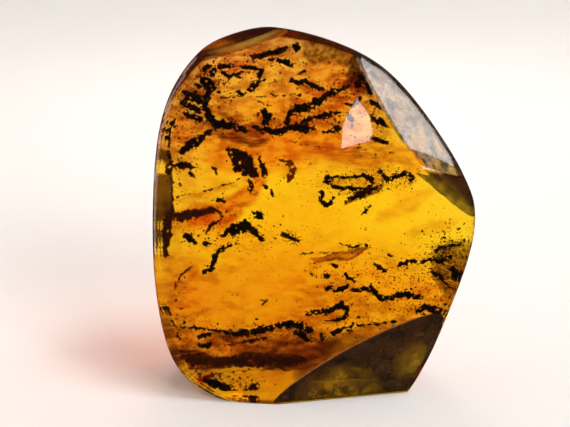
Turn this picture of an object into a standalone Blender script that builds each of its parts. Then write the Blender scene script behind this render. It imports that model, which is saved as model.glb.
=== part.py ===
"""Polished amber stone on a ground base, with plant shreds and two insects sealed in it.

Metres, +Z up, front towards -Y. The stone leans back, so its shape is drawn in its own axes
about its heart: x to the right, y up the front, w out of the front. Angles run anticlockwise
from +x in the x-y plane. Lengths below are millimetres and are turned into metres on building.
"""

import math

import bmesh
import bpy
import numpy as np
from mathutils import Matrix, Vector

for item in list(bpy.data.objects):
    bpy.data.objects.remove(item, do_unlink=True)

# ---------------------------------------------------------------- driving dimensions
MM = 0.001
LEAN = 13.0
HEART = (0.2, 2.65, 38.1)
HALF_WIDTH = 36.0
HALF_HEIGHT = 42.0
HALF_THICKNESS = 12.5
AROUND = 72
ACROSS = 18
ROUNDING = 18.0

# Tangent planes of the outline: angle, distance from the heart.
RIM = (
    (2, 36.4), (13, 39.6), (32, 33.9), (41, 35.5), (52, 38.5), (64, 38.5), (77, 40.2),
    (90, 45.4), (104, 48.3), (118, 48.3), (132, 46.9), (147, 43.4), (162, 41.2), (178, 35.8),
    (194, 39.5), (209, 50.0), (224, 50.8), (240, 48.0), (256, 46.5), (298, 48.5), (318, 46.6),
    (339, 35.2),
)
FRONT_RADIUS = 260.0
BACK_RADIUS = 150.0
BACK_TURN = 11.0

# Ground facets: angle, lift out of the x-y plane, distance from the heart.
LOWER_RIGHT = (-64.0, 64.0, 22.7)
TOP_LEFT = (108.0, 30.0, 39.6)
SHOULDER = (33.0, 40.0, 26.8)
HIP = (48.0, 30.0, 26.3)

# The resin set in two flows, and what it caught lies on the surface between them.
GAP = 0.3
CLEARANCE = 0.35
FLOW_DEPTH = 2.2
SHEET_CELLS = 16
SHEET_REACH = 50.0

# Shreds: half width, half thickness, spine.
SHREDS = {
    "bark_band_left": (0.85, 0.42, ((-28.1, 26.2), (-25.2, 26.0), (-23.3, 22.9), (-21.8, 20.3),
                                    (-18.3, 19.7), (-14.9, 19.0))),
    "bark_band_right": (0.85, 0.42, ((-12.6, 19.2), (-9.7, 18.9), (-6.6, 17.9), (-4.1, 19.0),
                                     (-2.3, 20.9), (0.3, 22.0), (4.4, 23.0))),
    "bark_arch": (0.75, 0.42, ((-5.6, 21.6), (-4.7, 23.4), (-2.5, 24.4), (0.5, 24.9), (3.3, 27.0),
                               (7.3, 28.0), (11.4, 27.9))),
    "bark_flake": (0.75, 0.40, ((-11.4, 31.2), (-12.7, 29.2), (-14.4, 27.7))),
    "husk": (2.3, 0.75, ((-18.0, 14.9), (-16.9, 13.6), (-15.7, 12.4), (-14.6, 11.1), (-13.7, 10.0))),
    "seed_oval": (1.0, 0.55, ((-29.1, 14.8), (-27.9, 15.5), (-26.3, 16.5), (-25.0, 17.3))),
    "leaf_shred": (0.85, 0.35, ((-30.0, 11.2), (-28.6, 10.8), (-27.2, 10.4))),
    "side_band": (0.80, 0.40, ((-31.6, 12.6), (-32.1, 7.1), (-32.2, 1.2), (-32.1, -4.6), (-31.7, -9.6))),
    "spur": (0.75, 0.45, ((-29.9, 0.5), (-27.6, 0.9), (-24.9, 1.3), (-21.9, 1.5), (-20.2, -0.1))),
    "shred_cluster": (0.95, 0.45, ((-21.5, -4.4), (-18.4, -3.1), (-15.3, -2.2), (-12.9, -0.5))),
    "shred_lower": (0.70, 0.38, ((-21.7, -8.6), (-20.2, -7.2), (-18.0, -6.3))),
    "chip_upper": (0.90, 0.45, ((12.1, 21.9), (13.7, 21.4), (15.3, 20.8))),
    "chip_lower": (0.80, 0.40, ((11.0, 17.1), (13.4, 17.2), (15.8, 17.8))),
    "shred_curl": (0.70, 0.35, ((14.5, 9.5), (17.6, 8.2), (21.0, 9.8))),
    "flake_dark": (0.75, 0.38, ((6.3, 2.8), (9.2, 3.9), (11.9, 4.5))),
    "curl": (0.45, 0.30, ((1.7, 4.5), (1.3, 3.1), (2.5, 1.9), (4.1, 2.6))),
    "leaf_rust": (0.80, 0.35, ((-6.9, 12.2), (-5.1, 11.0), (-5.7, 8.5))),
    "strip_lower": (0.70, 0.40, ((8.9, -15.7), (12.3, -15.2), (14.6, -17.6), (18.3, -17.2), (23.4, -17.2))),
    "band_lower_left": (0.95, 0.45, ((-29.2, -24.3), (-24.7, -24.8), (-18.8, -25.4), (-15.6, -25.6))),
    "band_lower_right": (0.95, 0.45, ((-13.5, -25.4), (-9.7, -24.9), (-5.8, -24.1), (-1.0, -25.0))),
    "wood_slab": (2.1, 0.65, ((-27.6, -30.4), (-23.7, -31.2), (-15.3, -31.4), (-5.6, -31.8))),
    "flake_crown": (0.65, 0.35, ((-13.7, 35.5), (-10.3, 35.2), (-6.5, 36.7))),
    "flake_oval": (0.60, 0.35, ((-7.2, 33.5), (-6.0, 33.0), (-4.6, 32.5))),
}
LOOPS = {
    "ring_shred": (0.45, 0.32, ((2.0, 8.0), (5.5, 9.4), (9.3, 9.3), (12.6, 8.2), (12.3, 6.6),
                                (7.6, 6.3), (3.4, 6.4))),
    "twig_loop": (0.42, 0.36, ((-1.7, -21.4), (0.3, -20.6), (3.0, -20.1), (6.3, -19.1), (7.6, -20.5),
                               (5.0, -22.5), (1.2, -22.9))),
}
BROWN = ("husk", "leaf_rust", "wood_slab", "leaf_shred", "flake_dark")

# Insects: middle, heading of the body, body length.
LARGE = (-5.3, -4.2, -22.0, 4.6)
SMALL = (-10.9, -18.6, 40.0, 2.1)
# Body outline: share of the length from the tail, radius as a share of the length.
BODY = ((0.00, 0.015), (0.10, 0.055), (0.24, 0.090), (0.38, 0.105), (0.50, 0.085), (0.56, 0.045),
        (0.62, 0.095), (0.69, 0.120), (0.76, 0.095), (0.80, 0.045), (0.87, 0.080), (0.94, 0.075),
        (1.00, 0.020))


# ---------------------------------------------------------------- helpers
def direction(angle, lift):
    a, b = math.radians(angle), math.radians(lift)
    return Vector((math.cos(b) * math.cos(a), math.cos(b) * math.sin(a), math.sin(b)))


def flow(x, y):
    """Height w of the surface between the two resin flows."""
    return FLOW_DEPTH + 1.3 * math.sin(x / 12.0 + 0.5) + 0.9 * math.cos(y / 14.0 - x / 30.0)


def to_world():
    lean = math.radians(LEAN)
    axes = Matrix((
        (MM, 0.0, 0.0, HEART[0] * MM),
        (0.0, MM * math.sin(lean), -MM * math.cos(lean), HEART[1] * MM),
        (0.0, MM * math.cos(lean), MM * math.sin(lean), HEART[2] * MM),
        (0.0, 0.0, 0.0, 1.0),
    ))
    return axes


def material(name, color, roughness=0.5, transmission=0.0, ior=1.45):
    made = bpy.data.materials.new(name)
    made.use_nodes = True
    shader = made.node_tree.nodes["Principled BSDF"]
    shader.inputs["Base Color"].default_value = (*color, 1.0)
    shader.inputs["Roughness"].default_value = roughness
    shader.inputs["Transmission Weight"].default_value = transmission
    shader.inputs["IOR"].default_value = ior
    return made


def finish(bm, name, look=None, helper=False):
    """One closed mesh in world coordinates, faces outwards."""
    bmesh.ops.recalc_face_normals(bm, faces=bm.faces)
    bmesh.ops.transform(bm, matrix=to_world(), verts=bm.verts)
    mesh = bpy.data.meshes.new(name)
    bm.to_mesh(mesh)
    bm.free()
    made = bpy.data.objects.new(name, mesh)
    bpy.context.scene.collection.objects.link(made)
    if look:
        mesh.materials.append(look)
    if helper:
        made.hide_render = True
        made.display_type = "WIRE"
    return made


def boolean(target, operation, other):
    cut = target.modifiers.new(f"{operation.lower()}_{other.name}", "BOOLEAN")
    cut.operation = operation
    cut.solver = "EXACT"
    cut.object = other


def grind(bm, normal, distance):
    """Takes off all that lies past a plane and closes the cut with one flat face."""
    cut = bmesh.ops.bisect_plane(
        bm, geom=bm.verts[:] + bm.edges[:] + bm.faces[:], dist=1e-5,
        plane_co=normal * distance, plane_no=normal, clear_outer=True,
    )
    edges = [piece for piece in cut["geom_cut"] if isinstance(piece, bmesh.types.BMEdge)]
    for edge in edges:
        edge.smooth = False
    bmesh.ops.holes_fill(bm, edges=edges, sides=0)


def loft(bm, rings, loop=False):
    """Closed skin over rings of equal length; a loop joins its last ring to its first."""
    verts = [[bm.verts.new(point) for point in ring] for ring in rings]
    pairs = list(zip(verts, verts[1:]))
    if loop:
        pairs.append((verts[-1], verts[0]))
    for first, second in pairs:
        for k in range(len(first)):
            n = (k + 1) % len(first)
            bm.faces.new((first[k], first[n], second[n], second[k])).smooth = True
    if not loop:
        bm.faces.new(verts[0])
        bm.faces.new(verts[-1])


# ---------------------------------------------------------------- the stone
def pebble_reach(u):
    """Distance from the heart to the tumbled, unground surface along unit direction u."""
    terms = []
    for angle, distance in RIM:
        terms.append(max(0.0, u.dot(direction(angle, 0.0))) / distance)
    turn = math.radians(BACK_TURN)
    domes = (
        (Vector((0.0, 0.0, 1.0)), FRONT_RADIUS),
        (Vector((0.0, math.sin(turn), -math.cos(turn))), BACK_RADIUS),
    )
    for axis, radius in domes:
        offset = radius - HALF_THICKNESS
        c = offset * u.dot(axis)
        terms.append(1.0 / (-c + math.sqrt(c * c - offset * offset + radius * radius)))
    top = max(terms)
    return 1.0 / (top * sum((term / top) ** ROUNDING for term in terms) ** (1.0 / ROUNDING))


def stone(name, look):
    bm = bmesh.new()
    bmesh.ops.create_uvsphere(bm, u_segments=AROUND, v_segments=ACROSS, radius=1.0)
    for vert in bm.verts:
        u = Vector((vert.co.x * HALF_WIDTH, vert.co.y * HALF_HEIGHT, vert.co.z * HALF_THICKNESS))
        u.normalize()
        vert.co = u * pebble_reach(u)
    for face in bm.faces:
        face.smooth = True
    grind(bm, direction(*LOWER_RIGHT[:2]), LOWER_RIGHT[2])
    grind(bm, direction(*TOP_LEFT[:2]), TOP_LEFT[2])
    grind(bm, direction(-90.0, -LEAN), HEART[2])
    return finish(bm, name, look)


def wedge(name, facets):
    """The stock that lies outside both of two facets, which meet in a valley."""
    bm = bmesh.new()
    bmesh.ops.create_cube(bm, size=150.0)
    for angle, lift, distance in facets:
        grind(bm, -direction(angle, lift), -distance)
    return finish(bm, name, helper=True)


def flow_block(name, side):
    """All the room on one side of the flow surface, up to half a gap past it."""
    bm = bmesh.new()
    bmesh.ops.create_grid(bm, x_segments=SHEET_CELLS, y_segments=SHEET_CELLS, size=SHEET_REACH)
    sheet = list(bm.faces)
    for vert in bm.verts:
        vert.co.z = flow(vert.co.x, vert.co.y) - side * GAP / 2
    far = bmesh.ops.extrude_face_region(bm, geom=sheet)["geom"]
    for piece in far:
        if isinstance(piece, bmesh.types.BMVert):
            piece.co.z = side * 60.0
    return finish(bm, name, helper=True)


# ---------------------------------------------------------------- what the resin caught
def ribbon(bm, name, shape, grow, loop=False):
    """A flat shred that follows the flow surface, ragged in width and narrower at its ends."""
    half_width, half_thickness, spine = shape
    dice = np.random.default_rng(len(name) * 37 + len(spine))
    section = ((-1.0, 0.0), (-0.62, 1.0), (0.62, 1.0), (1.0, 0.0), (0.62, -1.0), (-0.62, -1.0))
    last = len(spine) - 1
    rings = []
    for k, point in enumerate(spine):
        before = spine[k - 1] if k or loop else point
        after = spine[(k + 1) % len(spine)] if k < last or loop else point
        along = Vector((after[0] - before[0], after[1] - before[1])).normalized()
        out = Vector((-along.y, along.x))
        wide = half_width * (1.0 if loop else dice.uniform(0.82, 1.15))
        middle = Vector(point)
        if not loop and k in (0, last):
            wide *= 0.6
            middle += along * grow * (1 if k else -1)
        ring = []
        for a, b in section:
            place = middle + out * a * (wide + grow)
            ring.append((place.x, place.y, flow(place.x, place.y) + b * (half_thickness + grow)))
        rings.append(ring)
    loft(bm, rings, loop)


def tube(bm, path, radius, sides=4):
    """A thin round limb along a path of points, its rings square to the path."""
    path = [Vector(point) for point in path]
    rings = []
    for k, point in enumerate(path):
        along = (path[min(k + 1, len(path) - 1)] - path[max(k - 1, 0)]).normalized()
        side = along.cross(Vector((0.0, 0.0, 1.0)))
        side = side.normalized() if side.length > 1e-6 else Vector((1.0, 0.0, 0.0))
        up = side.cross(along)
        ring = []
        for s in range(sides):
            turn = 2.0 * math.pi * s / sides
            ring.append(point + (side * math.cos(turn) + up * math.sin(turn)) * radius)
        rings.append(ring)
    loft(bm, rings)


def place(bm, shape):
    """Turns an insect drawn along +x about its middle to its heading and sets it on the flow."""
    x, y, heading, _ = shape
    turn = Matrix.Rotation(math.radians(heading), 4, "Z")
    bmesh.ops.transform(bm, matrix=Matrix.Translation((x, y, flow(x, y))) @ turn, verts=bm.verts)


def insect_body(name, shape, look):
    length = shape[3]
    bm = bmesh.new()
    rings = []
    for share, radius in BODY:
        ring = []
        for s in range(8):
            turn = 2.0 * math.pi * s / 8
            r = radius * length
            ring.append(((share - 0.5) * length, r * math.cos(turn), r * 0.9 * math.sin(turn)))
        rings.append(ring)
    loft(bm, rings)
    place(bm, shape)
    return finish(bm, name, look)


def insect_limbs(name, shape, wings):
    """Six legs and two feelers, and on the gnat two raised wings, to be fused to the body."""
    length = shape[3]
    bm = bmesh.new()
    thin = max(0.07, 0.017 * length)
    for side in (-1, 1):
        for share, reach in ((0.62, -0.16), (0.69, 0.02), (0.75, 0.17)):
            root = (share - 0.5) * length
            tube(bm, (
                (root, side * 0.03 * length, -0.02 * length),
                (root + reach * 0.45 * length, side * 0.20 * length, 0.07 * length),
                (root + reach * length, side * 0.33 * length, -0.12 * length),
            ), thin)
        tube(bm, (
            (0.43 * length, side * 0.025 * length, 0.02 * length),
            (0.52 * length, side * 0.08 * length, 0.05 * length),
            (0.60 * length, side * 0.15 * length, 0.02 * length),
        ), thin)
    if wings:
        for side in (-1, 1):
            rings = []
            for share, half in ((0.0, 0.04), (0.35, 0.11), (0.75, 0.14), (1.0, 0.05)):
                reach = share * 0.62 * length
                back = 0.18 * length - reach * 0.92
                rise = 0.07 * length + reach * 0.36
                y = side * (0.05 * length + reach * 0.10)
                ring = []
                for a, b in ((-1, -1), (1, -1), (1, 1), (-1, 1)):
                    ring.append((back, y + a * 0.03 * length, rise + b * half * length * 0.6))
                rings.append(ring)
            loft(bm, rings)
    place(bm, shape)
    return finish(bm, name, helper=True)


def insect_room(bm, shape):
    """Egg-shaped pocket round an insect."""
    length = shape[3]
    room = bmesh.new()
    bmesh.ops.create_icosphere(room, subdivisions=2, radius=1.0)
    size = (0.66 * length + CLEARANCE, 0.36 * length + CLEARANCE, 0.34 * length + CLEARANCE)
    bmesh.ops.scale(room, vec=size, verts=room.verts)
    bmesh.ops.translate(room, vec=(0.03 * length, 0.0, 0.05 * length), verts=room.verts)
    place(room, shape)
    mesh = bpy.data.meshes.new("room")
    room.to_mesh(mesh)
    room.free()
    bm.from_mesh(mesh)
    bpy.data.meshes.remove(mesh)


amber = material("amber", (0.98, 0.52, 0.06), roughness=0.03, transmission=1.0, ior=1.54)
dark = material("bark_dark", (0.020, 0.012, 0.007), roughness=0.8)
brown = material("plant_brown", (0.115, 0.040, 0.012), roughness=0.7)
chitin = material("insect_dark", (0.016, 0.010, 0.008), roughness=0.45)

pockets = bmesh.new()
for title, outline in SHREDS.items():
    shred = bmesh.new()
    ribbon(shred, title, outline, 0.0)
    finish(shred, title, brown if title in BROWN else dark)
    ribbon(pockets, title, outline, CLEARANCE)
for title, outline in LOOPS.items():
    shred = bmesh.new()
    ribbon(shred, title, outline, 0.0, loop=True)
    finish(shred, title, dark)
    ribbon(pockets, title, outline, CLEARANCE, loop=True)

for title, shape in (("insect_large", LARGE), ("insect_small", SMALL)):
    body = insect_body(title, shape, chitin)
    limbs = insect_limbs(f"{title}_limbs", shape, title == "insect_small")
    boolean(body, "UNION", limbs)
    insect_room(pockets, shape)
pockets_cut = finish(pockets, "cut_pockets", helper=True)

shoulder_cut = wedge("cut_shoulder", (SHOULDER, HIP))
for title, side in (("amber_front", -1), ("amber_back", 1)):
    half = stone(title, amber)
    boolean(half, "DIFFERENCE", shoulder_cut)
    boolean(half, "DIFFERENCE", flow_block(f"cut_off_{title}", side))
    boolean(half, "DIFFERENCE", pockets_cut)
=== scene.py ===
import functools
import math
import random

import bmesh
import bpy
from mathutils import Matrix, Vector, noise


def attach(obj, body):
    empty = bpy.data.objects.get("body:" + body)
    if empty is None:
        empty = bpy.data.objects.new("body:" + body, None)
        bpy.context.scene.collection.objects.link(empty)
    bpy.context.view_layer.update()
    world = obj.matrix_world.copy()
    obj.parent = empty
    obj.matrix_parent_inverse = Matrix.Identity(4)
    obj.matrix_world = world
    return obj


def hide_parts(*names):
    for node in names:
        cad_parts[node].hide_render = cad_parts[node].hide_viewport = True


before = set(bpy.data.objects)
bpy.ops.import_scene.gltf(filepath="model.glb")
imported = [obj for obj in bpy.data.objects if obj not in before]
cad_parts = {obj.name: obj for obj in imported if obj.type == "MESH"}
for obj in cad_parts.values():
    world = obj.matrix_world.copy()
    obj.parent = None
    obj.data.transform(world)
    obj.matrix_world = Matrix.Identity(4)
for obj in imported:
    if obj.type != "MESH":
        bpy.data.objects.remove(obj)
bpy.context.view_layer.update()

# ---------------------------------------------------------------- amber stone
# One clear piece of fossil resin, tumbled to a pebble and then ground flat under its base, at its
# lower right, at its top left and on its right shoulder, and polished all over. It stands loose on
# its ground base and leans back.
# Lengths are millimetres in the stone's own axes about its heart: x right, y up the front, w out.
MM = 0.001
HEART = (0.2, 2.65, 38.1)
LEAN = 13.0
HALF_SIZES = (36.0, 42.0, 12.5)
RIM = (
    (2, 36.4), (13, 39.6), (32, 33.9), (41, 35.5), (52, 38.5), (64, 38.5), (77, 40.2),
    (90, 45.4), (104, 48.3), (118, 48.3), (132, 46.9), (147, 43.4), (162, 41.2), (178, 35.8),
    (194, 39.5), (209, 50.0), (224, 50.8), (240, 48.0), (256, 46.5), (298, 48.5), (318, 46.6),
    (339, 35.2),
)
ROUNDING = 18.0
FRONT_RADIUS = 260.0
BACK_RADIUS = 150.0
BACK_TURN = 11.0
LOWER_RIGHT = (-64.0, 64.0, 22.7)
TOP_LEFT = (108.0, 30.0, 39.6)
SHOULDER = (33.0, 40.0, 26.8)
HIP = (48.0, 30.0, 26.3)
BASE = (-90.0, -LEAN, HEART[2])
GRINDS = ((LOWER_RIGHT,), (TOP_LEFT,), (SHOULDER, HIP), (BASE,))
CREASE_ANGLE = math.radians(9.0)
CREASE_ROUND = 0.30


def direction(angle, lift=0.0):
    a, b = math.radians(angle), math.radians(lift)
    return Vector((math.cos(b) * math.cos(a), math.cos(b) * math.sin(a), math.sin(b)))


RIM_FACES = [direction(angle) / distance for angle, distance in RIM]
BOWLS = ((direction(0.0, 90.0), FRONT_RADIUS), (direction(90.0, BACK_TURN - 90.0), BACK_RADIUS))
FLATS = [[(direction(angle, lift), away) for angle, lift, away in planes] for planes in GRINDS]


def pebble_reach(u):
    """Distance from the heart to the tumbled surface along unit direction u."""
    terms = [max(0.0, u.dot(face)) for face in RIM_FACES]
    for axis, radius in BOWLS:
        offset = radius - HALF_SIZES[2]
        c = offset * u.dot(axis)
        terms.append(1.0 / (-c + math.sqrt(c * c - offset * offset + radius * radius)))
    top = max(terms)
    return 1.0 / (top * sum((term / top) ** ROUNDING for term in terms) ** (1.0 / ROUNDING))


def in_stone(point):
    if any(all(point.dot(normal) > away for normal, away in planes) for planes in FLATS):
        return False
    return point.length < pebble_reach(point.normalized())


def sunk(point, room):
    """True where the point has this much resin above it, below it and on each side."""
    steps = ((room, 0, 0), (-room, 0, 0), (0, room, 0), (0, -room, 0), (0, 0, room), (0, 0, -room))
    return all(in_stone(point + Vector(step)) for step in steps)


def grind(bm, planes):
    """Removes what lies outside every one of these planes, and closes the cut with flat faces."""
    for normal, away in planes:
        bmesh.ops.bisect_plane(
            bm, geom=bm.verts[:] + bm.edges[:] + bm.faces[:], dist=1e-4,
            plane_co=normal * away, plane_no=normal,
        )
    outside = []
    for face in bm.faces:
        middle = face.calc_center_median()
        if all(middle.dot(normal) > away for normal, away in planes):
            outside.append(face)
    bmesh.ops.delete(bm, geom=outside, context="FACES")
    rim = [edge for edge in bm.edges if edge.is_boundary]
    if len(planes) == 2:
        on_both = []
        for vert in {v for edge in rim for v in edge.verts}:
            if all(abs(vert.co.dot(normal) - away) < 2e-3 for normal, away in planes):
                on_both.append(vert)
        rim.append(bm.edges.new(on_both))
    bmesh.ops.edgenet_fill(bm, edges=rim)


def creases(bm):
    return [edge for edge in bm.edges if edge.is_manifold and edge.calc_face_angle() > CREASE_ANGLE]


def to_world():
    place = Matrix.Translation(Vector(HEART) * MM)
    return place @ Matrix.Rotation(math.radians(90.0 - LEAN), 4, "X") @ Matrix.Scale(MM, 4)


def piece(bm, name, slot, materials, *nodes):
    """Turns a mesh drawn in the stone's axes into a finished piece that rides on the part."""
    bmesh.ops.transform(bm, matrix=to_world(), verts=bm.verts)
    bmesh.ops.recalc_face_normals(bm, faces=bm.faces)
    for face in bm.faces:
        face.smooth = True
    mesh = bpy.data.meshes.new(name)
    bm.to_mesh(mesh)
    bm.free()
    made = bpy.data.objects.new(name, mesh)
    bpy.context.scene.collection.objects.link(made)
    for material in materials:
        mesh.materials.append(material)
    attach(made, "root")
    if nodes:
        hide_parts(*nodes)
    return made


def add(tree, kind, inputs=None, **settings):
    """A shader node with these settings, and with each named input given a value or a link."""
    node = tree.nodes.new(kind)
    for key, value in settings.items():
        setattr(node, key, value)
    for name, value in (inputs or {}).items():
        if isinstance(value, bpy.types.NodeSocket):
            tree.links.new(value, node.inputs[name])
        else:
            node.inputs[name].default_value = value
    return node


def blank(name):
    made = bpy.data.materials.new(name)
    made.use_nodes = True
    tree = made.node_tree
    return made, tree, tree.nodes["Principled BSDF"], tree.nodes["Material Output"]


def group(name, inputs, outputs):
    """An empty node group with float inputs (name, value) and float outputs."""
    tree = bpy.data.node_groups.new(name, "ShaderNodeTree")
    for title, value in inputs:
        socket = tree.interface.new_socket(title, in_out="INPUT", socket_type="NodeSocketFloat")
        socket.default_value = value
    for title in outputs:
        tree.interface.new_socket(title, in_out="OUTPUT", socket_type="NodeSocketFloat")
    return tree, tree.nodes.new("NodeGroupInput").outputs, tree.nodes.new("NodeGroupOutput")


# Mottling: patches of two sizes in the stone's axes, longer along x by Stretch. Size is in mm.
mottling, given, result = group("mottling", (("Size", 1.0), ("Stretch", 1.0)), ("Broad", "Fine"))
place = add(mottling, "ShaderNodeTexCoord").outputs["Object"]
place = add(mottling, "ShaderNodeMapping", {
    "Vector": place, "Location": Vector(HEART) * MM, "Rotation": (math.radians(90.0 - LEAN), 0.0, 0.0),
    "Scale": (MM, MM, MM),
}, vector_type="TEXTURE").outputs["Vector"]
rate = add(mottling, "ShaderNodeMath", {0: 1.0, 1: given["Size"]}, operation="DIVIDE").outputs[0]
along = add(mottling, "ShaderNodeMath", {0: rate, 1: given["Stretch"]}, operation="DIVIDE").outputs[0]
rates = add(mottling, "ShaderNodeCombineXYZ", {"X": along, "Y": rate, "Z": rate}).outputs["Vector"]
place = add(mottling, "ShaderNodeVectorMath", {0: place, 1: rates}, operation="MULTIPLY").outputs[0]
for title, fine, detail in (("Broad", 0.35, 2.0), ("Fine", 1.6, 3.0)):
    patches = add(mottling, "ShaderNodeTexNoise", {"Vector": place, "Scale": fine, "Detail": detail})
    spread = add(mottling, "ShaderNodeMapRange", {
        "Value": patches.outputs["Fac"], "From Min": 0.34, "From Max": 0.66,
    }, interpolation_type="SMOOTHSTEP")
    mottling.links.new(spread.outputs["Result"], result.inputs[title])


def mottle(tree, size, stretch=1.0):
    node = tree.nodes.new("ShaderNodeGroup")
    node.node_tree = mottling
    node.inputs["Size"].default_value = size
    node.inputs["Stretch"].default_value = stretch
    return node.outputs["Broad"], node.outputs["Fine"]


def between(tree, share, low, high):
    """A share from 0 to 1 turned into a number from low to high."""
    return add(tree, "ShaderNodeMapRange", {
        "Value": share, "To Min": low, "To Max": high,
    }).outputs["Result"]


def two_tone(tree, share, one, two):
    mix = add(tree, "ShaderNodeMix", data_type="RGBA")
    tree.links.new(share, mix.inputs[0])
    mix.inputs[6].default_value = (*one, 1.0)
    mix.inputs[7].default_value = (*two, 1.0)
    return mix.outputs[2]


stone = bmesh.new()
bmesh.ops.create_uvsphere(stone, u_segments=300, v_segments=90, radius=1.0)
for vert in stone.verts:
    u = Vector([a * b for a, b in zip(vert.co, HALF_SIZES)]).normalized()
    vert.co = u * pebble_reach(u)
for planes in FLATS:
    grind(stone, planes)
crease_verts = list({v for edge in creases(stone) for v in edge.verts})
near = bmesh.ops.find_doubles(stone, verts=stone.verts, keep_verts=crease_verts, dist=0.3)
bmesh.ops.weld_verts(stone, targetmap=near["targetmap"])
bmesh.ops.bevel(
    stone, geom=creases(stone), offset=CREASE_ROUND, offset_type="OFFSET", segments=2, profile=0.5,
    affect="EDGES", material=-1, clamp_overlap=True,
)
amber, tree, shader, output = blank("amber")
shader.inputs["Base Color"].default_value = (1.0, 1.0, 1.0, 1.0)
shader.inputs["Transmission Weight"].default_value = 1.0
shader.inputs["IOR"].default_value = 1.54
broad, fine = mottle(tree, 9.0)
tree.links.new(between(tree, broad, 0.006, 0.022), shader.inputs["Roughness"])
inside = add(tree, "ShaderNodeVolumeAbsorption", {"Color": (0.9972, 0.926, 0.30, 1.0), "Density": 300.0})
tree.links.new(inside.outputs["Volume"], output.inputs["Volume"])
amber_stone = piece(stone, "amber_stone", "amber", [amber], "amber_front", "amber_back")
weight = amber_stone.modifiers.new("even_normals", "WEIGHTED_NORMAL")
weight.weight = 100
weight.keep_sharp = False

# ---------------------------------------------------------------- bark shreds and chips
# Torn bark, leaf and wood that settled on the first flow of resin before the next one covered it:
# dark flat shreds that broke into angular chips, sealed where they lay on the surface between the
# flows. The larger ones have names, and the rest are one loose scatter.
CELL = 0.14
CHIP, SPLINTER = 0.85, 0.38


def flow(x, y):
    """Height w of the surface between the two resin flows."""
    return 2.2 + 1.3 * math.sin(x / 12.0 + 0.5) + 0.9 * math.cos(y / 14.0 - x / 30.0)


def skin_level(x, y):
    """Height w of the skins and loose bits: the flow surface, raised where the crown gets thin."""
    near_crown = min(1.0, max(0.0, (0.88 * y - 0.47 * x - 30.0) / 9.0))
    return flow(x, y) + 2.2 * near_crown * near_crown


def nearest(x, y, spine):
    """Distance to a line through points, and how many of its points lie before the nearest place."""
    best = (1e9, 0.0)
    for k in range(len(spine) - 1):
        ax, ay = spine[k][:2]
        dx, dy = spine[k + 1][0] - ax, spine[k + 1][1] - ay
        t = max(0.0, min(1.0, ((x - ax) * dx + (y - ay) * dy) / (dx * dx + dy * dy)))
        best = min(best, (math.hypot(x - ax - t * dx, y - ay - t * dy), k + t))
    return best


def cut_sheet(bm, points, reach, cell, keep):
    """Adds a flat grid round these points, less the cells that keep(x, y) turns down."""
    low = [min(p[k] for p in points) - reach for k in (0, 1)]
    high = [max(p[k] for p in points) + reach for k in (0, 1)]
    half = [(high[k] - low[k]) / 2.0 for k in (0, 1)]
    place = Matrix.Translation((low[0] + half[0], low[1] + half[1], 0.0))
    bmesh.ops.create_grid(
        bm, x_segments=round(2.0 * half[0] / cell), y_segments=round(2.0 * half[1] / cell), size=1.0,
        matrix=place @ Matrix.Diagonal((half[0], half[1], 1.0, 1.0)),
    )
    dropped = [face for face in bm.faces if not keep(*face.calc_center_median().xy)]
    bmesh.ops.delete(bm, geom=dropped, context="FACES")
    return bm.faces[:]


def inner_share(bm, steps):
    """How far each vertex lies inside the sheet: 0 on its edge, and near 1 some cells away."""
    share = {v: 0.0 if v.is_boundary else 1.0 for v in bm.verts}
    for _ in range(steps):
        share = {
            v: 0.0 if v.is_boundary else sum(share[e.other_vert(v)] for e in v.link_edges) / len(v.link_edges)
            for v in bm.verts
        }
    return share


def ease_edge(bm, passes):
    for _ in range(passes):
        bmesh.ops.smooth_vert(
            bm, verts=[v for v in bm.verts if v.is_boundary], factor=0.5,
            use_axis_x=True, use_axis_y=True, use_axis_z=False,
        )


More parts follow.
